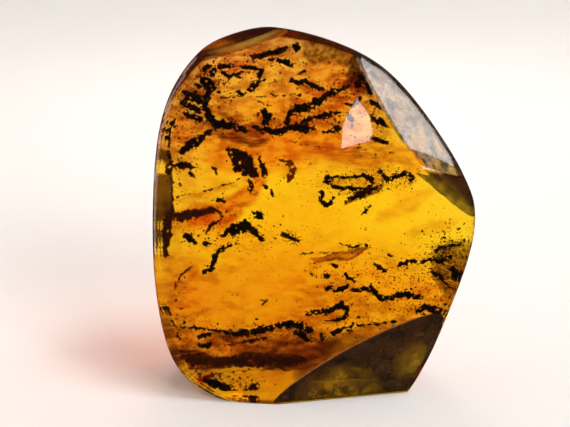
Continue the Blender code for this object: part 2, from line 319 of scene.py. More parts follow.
def shred(spine, thickness, level, ragged=1.0, holes=0.4):
    """One torn flat shred along a spine of points (x, y, half width), thin at its edges."""
    seed = 3.1 * spine[0][2] + spine[0][0]
    widest = max(p[2] for p in spine)

    def depth_in(x, y):
        far, at = nearest(x, y, spine)
        k = min(int(at), len(spine) - 2)
        width = spine[k][2] + (at - k) * (spine[k + 1][2] - spine[k][2])
        return 1.0 - far / width

    def keep(x, y):
        if nearest(x, y, spine)[0] > 1.9 * widest + 0.4 or not sunk(Vector((x, y, level(x, y))), 0.5):
            return False
        sway = 0.3 * noise.noise_vector((0.9 * x, 0.9 * y, seed))
        x, y = x + sway.x, y + sway.y
        chip = noise.voronoi((x / CHIP, y / CHIP, seed))[1][0] * CHIP
        splinter = noise.voronoi((x / SPLINTER, y / SPLINTER, seed))[1][0] * SPLINTER
        luck = noise.noise((4.7 * chip.x, 4.7 * chip.y, seed))
        small_luck = noise.noise((7.3 * splinter.x, 7.3 * splinter.y, seed))
        here = depth_in(x, y)
        whole = 0.3 * here + 0.7 * depth_in(chip.x, chip.y) + ragged * (1.05 * luck + 0.22)
        torn = 0.2 * here + 0.8 * depth_in(splinter.x, splinter.y) + ragged * (1.1 * small_luck + 0.12)
        return whole + 0.8 * torn > 0.0 and small_luck < 0.60 - 0.20 * holes

    bm = bmesh.new()
    thick = bm.verts.layers.float.new("thick")
    core = bm.verts.layers.float.new("core")
    faces = cut_sheet(bm, spine, 1.9 * widest + 0.4, CELL, keep)
    inner = inner_share(bm, 3)
    ease_edge(bm, 1)
    front = bm.verts[:]
    for v in front:
        x, y = v.co.xy
        lumps = 0.9 + 0.6 * noise.noise((2.6 * x, 2.6 * y, seed))
        v.co.z = level(x, y) + 0.25 * noise.noise((0.4 * x, 0.4 * y, seed + 3.0))
        v[thick] = thickness * (0.10 + inner[v] * lumps) / 2.0
        v[core] = inner[v]
    for v in bmesh.ops.extrude_face_region(bm, geom=faces)["geom"]:
        if isinstance(v, bmesh.types.BMVert):
            v.co.z += v[thick]
    for v in front:
        v.co.z -= v[thick]
    return bm


def join(parts):
    """One drawing with everything from several."""
    whole = bmesh.new()
    mesh = bpy.data.meshes.new("part")
    for part in parts:
        part.to_mesh(mesh)
        part.free()
        whole.from_mesh(mesh)
    bpy.data.meshes.remove(mesh)
    return whole


def plant_stuff(name, core, edge, dust):
    """Old plant stuff in resin: dark inside, browner where it is thin, with paler dusty patches."""
    made, tree, shader, output = blank(name)
    broad, fine = mottle(tree, 0.55, 1.6)
    thick = add(tree, "ShaderNodeAttribute", attribute_name="core").outputs["Fac"]
    body = two_tone(tree, thick, edge, core)
    mix = add(tree, "ShaderNodeMix", data_type="RGBA")
    tree.links.new(between(tree, fine, 0.0, 0.6), mix.inputs[0])
    tree.links.new(body, mix.inputs[6])
    mix.inputs[7].default_value = (*dust, 1.0)
    tree.links.new(mix.outputs[2], shader.inputs["Base Color"])
    tree.links.new(between(tree, broad, 0.45, 0.85), shader.inputs["Roughness"])
    rough = add(tree, "ShaderNodeBump", {"Height": fine, "Strength": 0.6, "Distance": 0.00015})
    tree.links.new(rough.outputs["Normal"], shader.inputs["Normal"])
    shader.inputs["Specular IOR Level"].default_value = 0.1
    return made


bark = plant_stuff("bark", (0.004, 0.002, 0.001), (0.030, 0.009, 0.002), (0.020, 0.009, 0.003))
leaf_brown = plant_stuff("leaf_brown", (0.30, 0.07, 0.006), (0.50, 0.13, 0.010), (0.11, 0.030, 0.005))
rust_brown = plant_stuff("rust_brown", (0.050, 0.013, 0.002), (0.30, 0.070, 0.006), (0.11, 0.030, 0.005))
husk_brown = plant_stuff("plant_brown", (0.016, 0.005, 0.001), (0.15, 0.035, 0.004), (0.05, 0.017, 0.003))

# Each shred: thickness, stuff, and the spine that it lies along, as x, y and half width.
SHREDS = {
    "bark_band_left": (0.42, bark, ((-27.5, 25.6, 0.45), (-26.2, 25.7, 0.54), (-24.1, 24.9, 0.58),
        (-23.5, 23.4, 0.63), (-22.7, 21.6, 0.67), (-21.8, 20.6, 0.76), (-20.1, 20.1, 0.81),
        (-17.9, 20.1, 0.76), (-16.2, 19.3, 0.67), (-14.6, 18.9, 0.45))),
    "bark_band_right": (0.42, bark, ((-13.1, 19.5, 0.45), (-11.4, 19.1, 0.58), (-9.7, 18.9, 0.49),
        (-7.7, 18.5, 0.72), (-6.0, 19.6, 0.58), (-4.1, 19.8, 0.67), (-2.1, 19.2, 0.76),
        (-0.4, 19.4, 0.54))),
    "bark_arch": (0.42, bark, ((-6.0, 20.7, 0.45), (-5.8, 22.2, 0.63), (-4.3, 23.5, 0.76),
        (-2.3, 23.9, 0.85), (-0.2, 24.8, 0.76), (1.5, 25.9, 0.63), (3.3, 27.2, 0.76), (5.0, 27.6, 0.54))),
    "bark_flake": (0.4, bark, ((-11.4, 32.0, 0.49), (-12.0, 30.3, 0.58), (-12.5, 29.0, 0.67),
        (-13.8, 27.9, 0.72))),
    "husk": (0.75, husk_brown, ((-18.3, 14.7, 0.80), (-16.8, 13.2, 1.95), (-15.4, 11.8, 2.20),
        (-14.0, 10.5, 1.70), (-12.9, 9.4, 0.80))),
    "seed_oval": (0.7, bark, ((-28.7, 14.5, 0.58), (-27.4, 15.6, 0.99), (-25.9, 16.4, 0.94),
        (-24.4, 17.1, 0.54))),
    "leaf_shred": (0.35, husk_brown, ((-30.2, 11.2, 0.36), (-28.8, 11.5, 0.76), (-27.3, 11.2, 0.63),
        (-25.7, 10.8, 0.27))),
    "side_band": (0.35, rust_brown, ((-31.3, 14.2, 0.49), (-31.3, 11.4, 0.58), (-31.6, 7.7, 0.85),
        (-31.7, 4.2, 1.05), (-31.6, 1.2, 1.15), (-31.9, -2.3, 0.90), (-32.2, -5.6, 0.72),
        (-32.3, -8.9, 0.36))),
    "spur": (0.5, rust_brown, ((-31.0, 0.3, 0.81), (-28.9, 0.1, 0.94), (-26.7, 0.8, 1.03),
        (-24.3, 1.2, 0.94), (-22.3, 1.7, 0.67))),
    "shred_cluster": (0.45, bark, ((-20.2, -3.8, 0.4), (-18.4, -2.9, 0.67), (-16.7, -2.4, 1.12),
        (-15.1, -1.7, 1.26), (-13.8, -2.6, 0.81), (-12.3, -3.7, 0.45), (-11.4, -4.8, 0.31))),
    "shred_lower": (0.38, bark, ((-21.9, -8.4, 0.45), (-20.6, -7.1, 0.54), (-19.3, -6.4, 0.45),
        (-18.0, -5.9, 0.31))),
    "chip_upper": (0.45, bark, ((12.1, 22.3, 0.45), (13.6, 21.4, 0.76), (15.3, 20.3, 0.49))),
    "chip_lower": (0.4, bark, ((12.3, 17.6, 0.31), (14.3, 16.9, 0.54), (15.8, 16.7, 0.31))),
    "ring_shred": (0.32, bark, ((2.0, 8.4, 0.36), (3.3, 9.1, 0.4), (5.5, 8.9, 0.34), (8.0, 9.1, 0.29),
        (10.6, 9.4, 0.36), (12.2, 9.1, 0.4), (12.4, 7.6, 0.36), (11.1, 6.5, 0.34), (8.1, 6.7, 0.29),
        (5.0, 6.7, 0.36), (3.3, 7.4, 0.36), (2.0, 8.2, 0.31))),
    "shred_curl": (0.35, bark, ((14.3, 10.4, 0.4), (15.0, 8.9, 0.54), (16.5, 8.7, 0.54),
        (18.0, 9.3, 0.49), (19.5, 9.8, 0.49), (20.8, 9.3, 0.54), (20.8, 8.0, 0.31))),
    "flake_dark": (0.38, husk_brown, ((6.8, 3.7, 0.4), (8.5, 4.8, 0.76), (10.7, 5.7, 0.81),
        (13.2, 6.8, 0.4))),
    "curl": (0.3, bark, ((1.6, 5.8, 0.31), (1.4, 4.1, 0.4), (2.2, 3.0, 0.45), (3.5, 3.5, 0.36),
        (4.0, 4.6, 0.27))),
    "leaf_rust": (0.35, leaf_brown, ((-7.3, 12.5, 0.31), (-5.6, 12.3, 0.45), (-4.7, 11.0, 0.81),
        (-5.3, 9.0, 0.63), (-6.0, 7.9, 0.27))),
    "strip_lower": (0.4, bark, ((8.2, -15.7, 0.4), (10.2, -15.7, 0.54), (12.4, -15.3, 0.58),
        (13.5, -16.9, 0.63), (15.0, -17.8, 0.58), (17.2, -17.4, 0.67), (20.1, -16.9, 0.67),
        (23.2, -17.4, 0.49))),
    "twig_loop": (0.36, bark, ((-1.6, -21.4, 0.36), (-0.3, -20.9, 0.49), (1.2, -20.5, 0.54),
        (2.8, -20.7, 0.4), (4.3, -20.2, 0.54), (5.8, -19.1, 0.58), (7.2, -19.8, 0.58), (7.2, -21.4, 0.45),
        (5.9, -22.3, 0.36), (3.4, -22.7, 0.22), (1.0, -22.5, 0.18))),
    "band_lower_left": (0.45, bark, ((-30.1, -24.3, 0.2), (-27.4, -24.6, 0.25), (-24.5, -24.8, 0.29),
        (-21.6, -25.2, 0.31), (-19.0, -25.7, 0.54), (-16.8, -25.9, 0.76), (-14.8, -25.6, 0.72))),
    "band_lower_right": (0.45, bark, ((-13.7, -25.4, 0.72), (-11.5, -24.9, 0.67), (-9.3, -24.2, 0.58),
        (-7.1, -23.7, 0.63), (-4.9, -23.7, 0.67), (-2.9, -24.1, 0.9), (-1.2, -24.8, 0.67))),
    "wood_slab": (0.65, rust_brown, ((-28.7, -30.9, 0.67), (-26.1, -31.8, 1.12), (-22.6, -32.3, 1.23),
        (-18.6, -32.1, 1.23), (-15.1, -31.8, 1.46), (-11.5, -32.0, 1.35), (-7.5, -31.9, 1.23),
        (-3.8, -31.9, 0.9))),
    "flake_crown": (0.35, bark, ((-13.8, 34.9, 0.45), (-11.8, 34.8, 0.58), (-9.9, 35.6, 0.49),
        (-7.7, 35.8, 0.58), (-5.8, 36.8, 0.45))),
    "flake_oval": (0.35, bark, ((-7.7, 34.1, 0.49), (-6.2, 33.7, 0.67), (-5.1, 32.9, 0.4))),
}
# How ragged the shreds are that broke less than the bark did.
WHOLE = {
    "husk": 0.40, "seed_oval": 0.2, "leaf_shred": 0.6, "side_band": 0.4, "spur": 0.35, "leaf_rust": 0.2,
    "flake_dark": 0.5, "wood_slab": 0.6,
}
for title, (thickness, stuff, spine) in SHREDS.items():
    slot = "bark_dark" if stuff is bark else "plant_brown"
    ragged = WHOLE.get(title, 1.0)
    piece(shred(spine, thickness, flow, ragged, 0.6 * ragged), title + "_torn", slot, [stuff], title)

# Loose shreds without a name: spines of x, y and half width.
SMALL_DARK = (
    ((-24.2, 29.7, 0.67), (-23.0, 29.1, 1.12), (-22.0, 28.3, 0.67)),
    ((-22.8, 28.1, 0.54), (-23.3, 26.1, 0.58), (-23.7, 23.8, 0.54)),
    ((-28.2, 26.9, 0.36), (-26.8, 26.7, 0.54), (-25.2, 26.1, 0.49)),
    ((-28.6, 24.9, 0.36), (-27.1, 24.2, 0.58), (-25.2, 23.3, 0.54)),
    ((-28.2, 22.4, 0.4), (-26.5, 22.0, 0.58), (-24.6, 21.4, 0.49)),
    ((-25.1, 17.5, 0.36), (-23.5, 18.2, 0.49), (-22.5, 18.8, 0.36)),
    ((-31.4, 15.3, 0.22), (-31.1, 17.6, 0.31), (-30.7, 19.8, 0.36), (-29.9, 21.3, 0.27)),
    ((-22.3, 30.8, 0.4), (-21.3, 32.3, 0.45)),
    ((-20.6, 32.8, 0.36), (-19.1, 33.0, 0.49), (-17.6, 32.8, 0.36)),
    ((-20.0, 31.5, 0.31), (-18.3, 30.5, 0.4), (-16.8, 31.1, 0.45), (-15.5, 31.6, 0.31)),
    ((-15.9, 32.8, 0.31), (-14.2, 32.6, 0.49), (-12.3, 32.2, 0.36)),
    ((-23.7, 31.8, 0.31), (-22.7, 32.7, 0.36)),
    ((-25.7, 28.8, 0.27), (-24.7, 28.5, 0.31)),
    ((-10.1, 34.1, 0.31), (-8.6, 34.4, 0.36)),
    ((-4.4, 37.1, 0.54), (-3.5, 36.4, 0.49)),
    ((-3.6, 31.4, 0.36), (-2.1, 31.8, 0.36)),
    ((-5.1, 29.7, 0.36), (-3.6, 29.3, 0.45), (-1.9, 29.5, 0.36), (-0.8, 28.9, 0.58), (0.7, 28.4, 0.45)),
    ((-16.6, 27.5, 0.4), (-15.7, 26.6, 0.45)),
    ((-9.4, 26.9, 0.4), (-8.8, 26.4, 0.36)),
    ((-11.0, 23.2, 0.58), (-10.3, 22.1, 0.81), (-10.7, 20.6, 0.54)),
    ((-3.0, 19.8, 0.45), (-2.1, 21.1, 0.58), (-0.6, 22.0, 0.4)),
    ((-8.6, 30.1, 0.18), (-8.4, 29.0, 0.13)),
    ((9.0, 29.1, 0.67), (10.5, 29.9, 0.9), (11.6, 28.4, 0.67), (12.0, 27.0, 0.36)),
    ((6.9, 25.0, 0.31), (8.2, 24.4, 0.4), (9.7, 26.1, 0.36)),
    ((7.6, 22.1, 0.58), (8.0, 21.4, 0.54)),
    ((12.1, 25.5, 0.36), (13.1, 24.8, 0.54), (14.2, 24.0, 0.36)),
    ((0.5, 22.0, 0.4), (2.2, 22.4, 0.63), (3.9, 22.7, 0.58), (5.4, 23.1, 0.36)),
    ((2.0, 18.6, 0.36), (3.5, 19.0, 0.58), (5.2, 19.7, 0.45)),
    ((-1.0, 29.1, 0.31), (0.5, 28.4, 0.45), (1.7, 27.8, 0.36)),
    ((5.4, 27.8, 0.31), (7.1, 28.7, 0.45)),
    ((10.3, 1.1, 0.36), (11.1, 2.0, 0.36), (12.4, 3.0, 0.22)),
    ((5.5, -5.5, 0.18), (8.1, -6.2, 0.22), (10.7, -5.5, 0.2), (12.1, -6.2, 0.18)),
    ((18.4, -10.4, 0.4), (20.2, -9.6, 0.72), (21.9, -9.6, 0.45)),
    ((13.2, -10.2, 0.4), (14.5, -11.1, 0.58), (15.6, -11.7, 0.36)),
    ((4.0, -10.2, 0.4), (4.7, -10.6, 0.31)),
    ((2.3, -12.6, 0.49), (3.6, -12.4, 0.4)),
    ((2.5, -15.5, 0.54), (3.6, -15.1, 0.49)),
    ((4.7, -16.0, 0.36), (5.8, -15.5, 0.54), (7.3, -14.8, 0.4)),
    ((6.7, -11.9, 0.27), (7.5, -13.0, 0.45), (8.6, -13.9, 0.31)),
    ((26.1, -7.4, 0.27), (27.4, -6.6, 0.36), (30.0, -6.1, 0.31), (32.0, -5.5, 0.36), (32.4, -4.9, 0.27)),
    ((23.3, -9.8, 0.31), (25.2, -9.0, 0.45), (27.4, -9.5, 0.54), (29.1, -8.6, 0.45)),
    ((25.3, -11.4, 0.36), (27.0, -12.8, 0.45), (28.7, -14.3, 0.36)),
    ((29.9, -11.0, 0.45), (30.5, -12.2, 0.54), (30.1, -13.6, 0.36)),
    ((22.6, -20.6, 0.45), (24.7, -19.7, 0.72), (26.9, -20.3, 0.67), (26.6, -20.0, 0.4)),
    ((3.9, -25.4, 0.36), (6.1, -24.5, 0.31), (8.9, -23.8, 0.27), (12.2, -23.6, 0.22), (15.5, -23.2, 0.22),
        (18.6, -22.8, 0.16)),
    ((1.5, -25.7, 0.4), (1.9, -26.8, 0.4)),
    ((4.3, -25.7, 0.36), (5.2, -25.4, 0.31)),
    ((7.0, -25.0, 0.27), (7.9, -24.8, 0.36)),
    ((-25.4, -26.6, 0.36), (-23.9, -26.2, 0.58), (-22.8, -25.9, 0.31)),
    ((-25.4, -28.4, 0.49), (-23.9, -28.9, 0.67), (-23.0, -28.2, 0.4)),
    ((-3.8, -25.5, 0.54), (-2.2, -26.2, 0.72), (-1.4, -27.3, 0.45)),
    ((-21.5, -7.5, 0.4), (-21.7, -9.3, 0.45), (-22.6, -11.5, 0.54), (-24.2, -12.0, 0.4)),
    ((-28.2, -3.8, 0.4), (-27.2, -4.7, 0.76), (-26.1, -5.6, 0.45)),
    ((-23.9, -5.5, 0.54), (-23.0, -6.2, 0.49)),
    ((-13.2, 1.3, 0.45), (-12.3, 0.7, 0.9), (-11.4, 0.1, 0.49)),
    ((-21.0, 3.9, 0.54), (-19.7, 3.7, 0.58)),
    ((-11.0, 7.0, 0.4), (-10.5, 6.6, 0.36)),
    ((-9.5, 6.2, 0.31), (-9.2, 4.9, 0.27)),
    ((-11.8, 12.9, 0.36), (-11.4, 11.3, 0.49), (-10.8, 9.4, 0.45)),
    ((-14.4, 8.3, 0.31), (-13.6, 6.6, 0.36), (-13.8, 5.3, 0.18)),
    ((-24.0, -36.2, 0.4), (-22.1, -36.9, 0.67), (-19.9, -37.6, 0.63), (-17.9, -38.7, 0.54),
        (-15.9, -40.0, 0.36)),
    ((-15.0, -39.9, 0.31), (-13.3, -39.7, 0.4)),
    ((-7.8, -33.1, 0.27), (-6.6, -34.0, 0.31)),
    ((-26.0, -34.0, 0.22), (-25.1, -35.3, 0.27)),
    ((16.2, -8.0, 0.22), (17.3, -8.4, 0.18)),
    ((-1.0, -12.0, 0.31), (-0.3, -12.4, 0.27)),
    ((-2.6, 28.8, 0.22), (-1.3, 28.2, 0.18)),
)
SMALL_BROWN = (
    ((-22.3, 1.9, 0.36), (-20.8, 1.5, 0.4), (-20.1, 0.2, 0.4), (-21.2, -0.9, 0.31), (-22.8, -2.0, 0.31),
        (-23.4, -3.3, 0.22)),
    ((-25.9, -10.6, 0.2), (-27.2, -11.1, 0.2), (-28.8, -12.4, 0.18), (-30.1, -14.4, 0.16),
        (-30.7, -17.1, 0.13)),
    ((-22.3, 11.3, 0.27), (-21.6, 10.4, 0.49), (-21.4, 9.5, 0.27)),
    ((-27.1, 9.7, 0.31), (-26.0, 8.9, 0.31)),
    ((-15.5, -38.8, 0.45), (-13.9, -38.4, 0.76), (-12.4, -37.7, 0.63), (-11.7, -37.3, 0.31)),
    ((-21.6, 25.9, 0.13), (-16.1, 26.2, 0.13), (-9.7, 26.2, 0.13), (-1.0, 27.1, 0.13), (3.3, 28.2, 0.11)),
    ((-22.0, 29.4, 0.13), (-17.9, 30.5, 0.13), (-15.1, 31.6, 0.11)),
    ((-19.7, -28.6, 0.22), (-14.1, -27.4, 0.31), (-10.4, -26.7, 0.22)),
    ((-14.4, 10.0, 0.13), (-17.3, 7.8, 0.13), (-23.8, 5.8, 0.13), (-29.7, 4.5, 0.13)),
    ((-12.9, 25.6, 0.11), (-6.4, 23.0, 0.11), (-3.2, 24.8, 0.11)),
    ((-6.0, 17.0, 0.13), (-1.0, 15.8, 0.13), (5.4, 14.9, 0.13), (10.8, 15.6, 0.11)),
    ((-3.2, -7.8, 0.18), (3.4, -7.3, 0.2), (8.8, -7.7, 0.16)),
    ((-32.2, -19.3, 0.18), (-31.0, -22.7, 0.2), (-29.4, -27.3, 0.2)),
)
SMALL_THICKNESS = 0.32
dark_shreds = join([shred(spine, SMALL_THICKNESS, skin_level) for spine in SMALL_DARK])
piece(dark_shreds, "small_shreds", "bark_dark", [bark])
brown_shreds = join([shred(spine, SMALL_THICKNESS, skin_level, 0.6) for spine in SMALL_BROWN])
piece(brown_shreds, "brown_shreds", "plant_brown", [husk_brown])

# ---------------------------------------------------------------- crumbs
# Dust and crumbs of the same bark and wood, washed along by the resin: thick beside the shreds
# and in the drifts at both ends of the bands, thin everywhere else.
DRIFTS = (
    (-23.0, 29.0, 5.5, 3.5, 420, 0.30), (-28.0, 21.0, 2.5, 4.5, 300, 0.28), (-12.0, 33.5, 8.0, 2.2, 260, 0.26),
    (9.0, 28.0, 4.0, 3.0, 320, 0.30), (-17.0, 19.8, 9.0, 1.3, 320, 0.26), (-1.0, 21.5, 5.0, 2.2, 260, 0.26),
    (13.5, 22.0, 2.5, 4.0, 200, 0.26), (-29.0, 8.0, 2.0, 7.0, 160, 0.22), (-24.0, 0.0, 6.0, 6.0, 160, 0.20),
    (-16.0, -3.5, 6.0, 2.6, 300, 0.24), (9.0, 7.8, 5.5, 1.6, 260, 0.22), (17.5, 9.0, 3.5, 1.5, 220, 0.26),
    (28.5, -9.5, 3.2, 4.0, 900, 0.24), (18.0, -14.5, 7.0, 3.0, 420, 0.24), (5.0, -13.5, 6.0, 3.0, 240, 0.22),
    (-9.0, -25.5, 13.0, 1.6, 300, 0.26), (-20.0, -37.0, 4.5, 1.8, 380, 0.28), (8.0, 34.0, 4.0, 2.0, 100, 0.24),
    (13.0, -21.5, 9.0, 2.0, 220, 0.24), (24.0, -20.5, 3.0, 1.2, 160, 0.26), (-29.5, -24.0, 2.0, 6.0, 200, 0.24),
    (-14.0, -30.5, 9.0, 2.6, 260, 0.24), (0.0, 2.0, 22.0, 22.0, 900, 0.15),
)
BESIDE = 2.6
BATCH = 80
draw = random.Random(4)


def crumb(bm, x, y, w, size):
    """Adds one chip: a small lump with its corners pushed about, turned at random."""
    turn = Matrix.Rotation(draw.uniform(0.0, math.pi), 4, "Z")
    tip = Matrix.Rotation(draw.uniform(-0.5, 0.5), 4, "X")
    form = Matrix.Diagonal((size, size * draw.uniform(0.30, 0.9), size * draw.uniform(0.25, 0.6), 1.0))
    place = Matrix.Translation((x, y, w)) @ turn @ tip @ form
    verts = bmesh.ops.create_icosphere(bm, subdivisions=1, radius=0.5, matrix=place)["verts"]
    for v in verts:
        v.co += Vector([draw.uniform(-0.16, 0.16) * size for _ in range(3)])


def crumb_size(typical):
    return typical * draw.lognormvariate(0.0, 0.45)


spots = []
for cx, cy, sx, sy, count, typical in DRIFTS:
    for _ in range(count):
        spots.append((draw.gauss(cx, sx), draw.gauss(cy, sy), draw.gauss(0.0, 0.7), crumb_size(typical)))
for spine in [row[2] for row in SHREDS.values()] + list(SMALL_DARK):
    for (ax, ay, aw), (bx, by, bw) in zip(spine, spine[1:]):
        for _ in range(round(BESIDE * (math.hypot(bx - ax, by - ay) + 0.5))):
            t = draw.random()
            x = ax + t * (bx - ax) + draw.gauss(0.0, 0.5 + aw)
            y = ay + t * (by - ay) + draw.gauss(0.0, 0.3 + 0.8 * bw)
            spots.append((x, y, draw.gauss(0.0, 0.3), crumb_size(0.30)))
dark_parts, brown_parts = [bmesh.new()], [bmesh.new()]
for x, y, rise, size in spots:
    middle = Vector((x, y, skin_level(x, y) + rise))
    if sunk(middle, 0.6 + size):
        parts = dark_parts if draw.random() < 0.72 else brown_parts
        if len(parts[-1].verts) > 12 * BATCH:
            parts.append(bmesh.new())
        crumb(parts[-1], *middle, size)
piece(join(dark_parts), "dark_crumbs", "bark_dark", [bark])
piece(join(brown_parts), "brown_crumbs", "plant_brown", [husk_brown])

# ---------------------------------------------------------------- stained films and painted light
# Where one flow of resin ran over another, its skin had already browned in the air: thin stained
# films, redder and darker than the clear amber, with soft or sharp edges and wood-brown streaks.
# Age says how far a skin has browned, from 0 for orange through rust to 1 for dark brown.
# Not every film is a stain. These are painted shade: the dark films under the lower right and hip ground faces, along
# the shoulder's outer edge and at the base edge, the olive films at the crown and base, the wash under the top left
# face, and crease_shade. The film along the left rim is a painted sheen. The bright line at the crease and the
# crescent on the top left face are painted highlights.
FILM_THICKNESS = 0.05
RUST_TINTS = ((0.95, 0.46, 0.25), (0.46, 0.150, 0.05), (0.09, 0.024, 0.008))
OLIVE_TINTS = ((0.80, 0.62, 0.30), (0.40, 0.26, 0.10), (0.10, 0.070, 0.03))
HAZE = 0.14


def film_cover(tree, cover, fine, least, most):
    """How much of what lies behind a film it hides, broken up by its streaks."""
    streaks = between(tree, fine, least, most)
    return add(tree, "ShaderNodeMath", {0: cover, 1: streaks}, operation="MULTIPLY", use_clamp=True).outputs[0]


def stain_and_shade_film(name, tints, size, stretch, least=0.7, most=1.25):
    """A clear film that tints what lies behind it, with a little haze of its own: a real stain in some films, painted
    shade in others.
    """
    made, tree, shader, output = blank(name)
    broad, fine = mottle(tree, size, stretch)
    age = add(tree, "ShaderNodeAttribute", attribute_name="age").outputs["Fac"]
    age = add(tree, "ShaderNodeMath", {0: age, 1: between(tree, broad, -0.10, 0.10)}, operation="ADD").outputs[0]
    age = add(tree, "ShaderNodeMath", {0: age, 1: between(tree, fine, -0.08, 0.10)}, operation="ADD").outputs[0]
    ramp = add(tree, "ShaderNodeValToRGB", {"Fac": age})
    stops = ramp.color_ramp.elements
    stops.new(0.5)
    for stop, tint in zip(stops, tints):
        stop.color = (*tint, 1.0)
    cover = add(tree, "ShaderNodeAttribute", attribute_name="cover").outputs["Fac"]
    cover = film_cover(tree, cover, fine, least, most)
    tinted = add(tree, "ShaderNodeMix", data_type="RGBA")
    tree.links.new(cover, tinted.inputs[0])
    tinted.inputs[6].default_value = (1.0, 1.0, 1.0, 1.0)
    tree.links.new(ramp.outputs["Color"], tinted.inputs[7])
    clear = add(tree, "ShaderNodeBsdfTransparent", {"Color": tinted.outputs[2]}).outputs["BSDF"]
    tree.links.new(ramp.outputs["Color"], shader.inputs["Base Color"])
    shader.inputs["Roughness"].default_value = 0.7
    shader.inputs["Specular IOR Level"].default_value = 0.0
    haze = add(tree, "ShaderNodeMath", {0: cover, 1: HAZE}, operation="MULTIPLY").outputs[0]
    mixed = add(tree, "ShaderNodeMixShader", {0: haze, 1: clear, 2: shader.outputs["BSDF"]})
    tree.links.new(mixed.outputs["Shader"], output.inputs["Surface"])
    return made


def coloured_film(name, one, two, least, most, size, stretch):
    made, tree, shader, output = blank(name)
    broad, fine = mottle(tree, size, stretch)
    tree.links.new(two_tone(tree, broad, one, two), shader.inputs["Base Color"])
    cover = add(tree, "ShaderNodeAttribute", attribute_name="cover").outputs["Fac"]
    tree.links.new(film_cover(tree, cover, fine, least, most), shader.inputs["Alpha"])
    shader.inputs["Roughness"].default_value = 0.7
    shader.inputs["Specular IOR Level"].default_value = 0.0
    return made


smooth_skin = stain_and_shade_film("smooth_skin", RUST_TINTS, 2.6, 2.0)
wood_skin = stain_and_shade_film("wood_skin", RUST_TINTS, 0.8, 6.0, 0.55, 1.25)
# olive_film is an olive tint; at the crown and along the base it is painted shade.
olive_film = stain_and_shade_film("olive_film", OLIVE_TINTS, 1.2, 1.2)
# The next film is painted shade, dark brown, for the ground faces and edges that look dark; its faint grey is a
# painted sheen of their reflection.
painted_shade_film = coloured_film("painted_shade_film", (0.125, 0.055, 0.028), (0.050, 0.026, 0.016), 0.95, 1.1, 1.5, 1.6)
bevel_skin = coloured_film("bevel_skin", (1.0, 0.28, 0.008), (0.14, 0.018, 0.001), 0.6, 1.15, 1.4, 5.0)
# The next film is a painted sheen: the grey-pink reflection of the paper along the stone's left rim.
painted_sheen_film = coloured_film("painted_sheen_film", (0.52, 0.34, 0.28), (0.18, 0.10, 0.075), 0.9, 1.1, 2.0, 0.6)
# The next film is a painted highlight: the bright line along the lower right crease.
painted_highlight_film = coloured_film("painted_highlight_film", (1.0, 0.44, 0.12), (1.0, 0.30, 0.07), 0.95, 1.1, 0.9, 1.0)
shade_skin = coloured_film("shade_skin", (0.16, 0.018, 0.002), (0.06, 0.008, 0.001), 0.85, 1.1, 1.4, 4.0)
# The next film is a painted highlight: the bright crescent on the top left ground face.
painted_gleam_film = coloured_film("painted_gleam_film", (1.0, 0.62, 0.12), (1.0, 0.38, 0.03), 0.8, 1.1, 1.0, 3.0)
frosted_skin = coloured_film("frosted_skin", (0.84, 0.62, 0.50), (0.05, 0.05, 0.06), 0.9, 1.2, 0.8, 1.3)


def plated(share):
    """The cover of each side of a plate, for a wanted cover of the plate as a whole."""
    return 1.0 - math.sqrt(1.0 - min(0.99, share))


def close_plate(bm, faces, back):
    """Gives an open film its other side."""
    for v in bmesh.ops.extrude_face_region(bm, geom=faces)["geom"]:
        if isinstance(v, bmesh.types.BMVert):
            v.co -= back


def warped(x, y, seed):
    """The place moved a little at random, so that outlines wander."""
    slow = noise.noise_vector((0.25 * x, 0.25 * y, seed))
    quick = noise.noise_vector((1.0 * x, 1.0 * y, seed + 5.0))
    return x + 1.3 * slow.x + 0.35 * quick.x, y + 1.3 * slow.y + 0.35 * quick.y


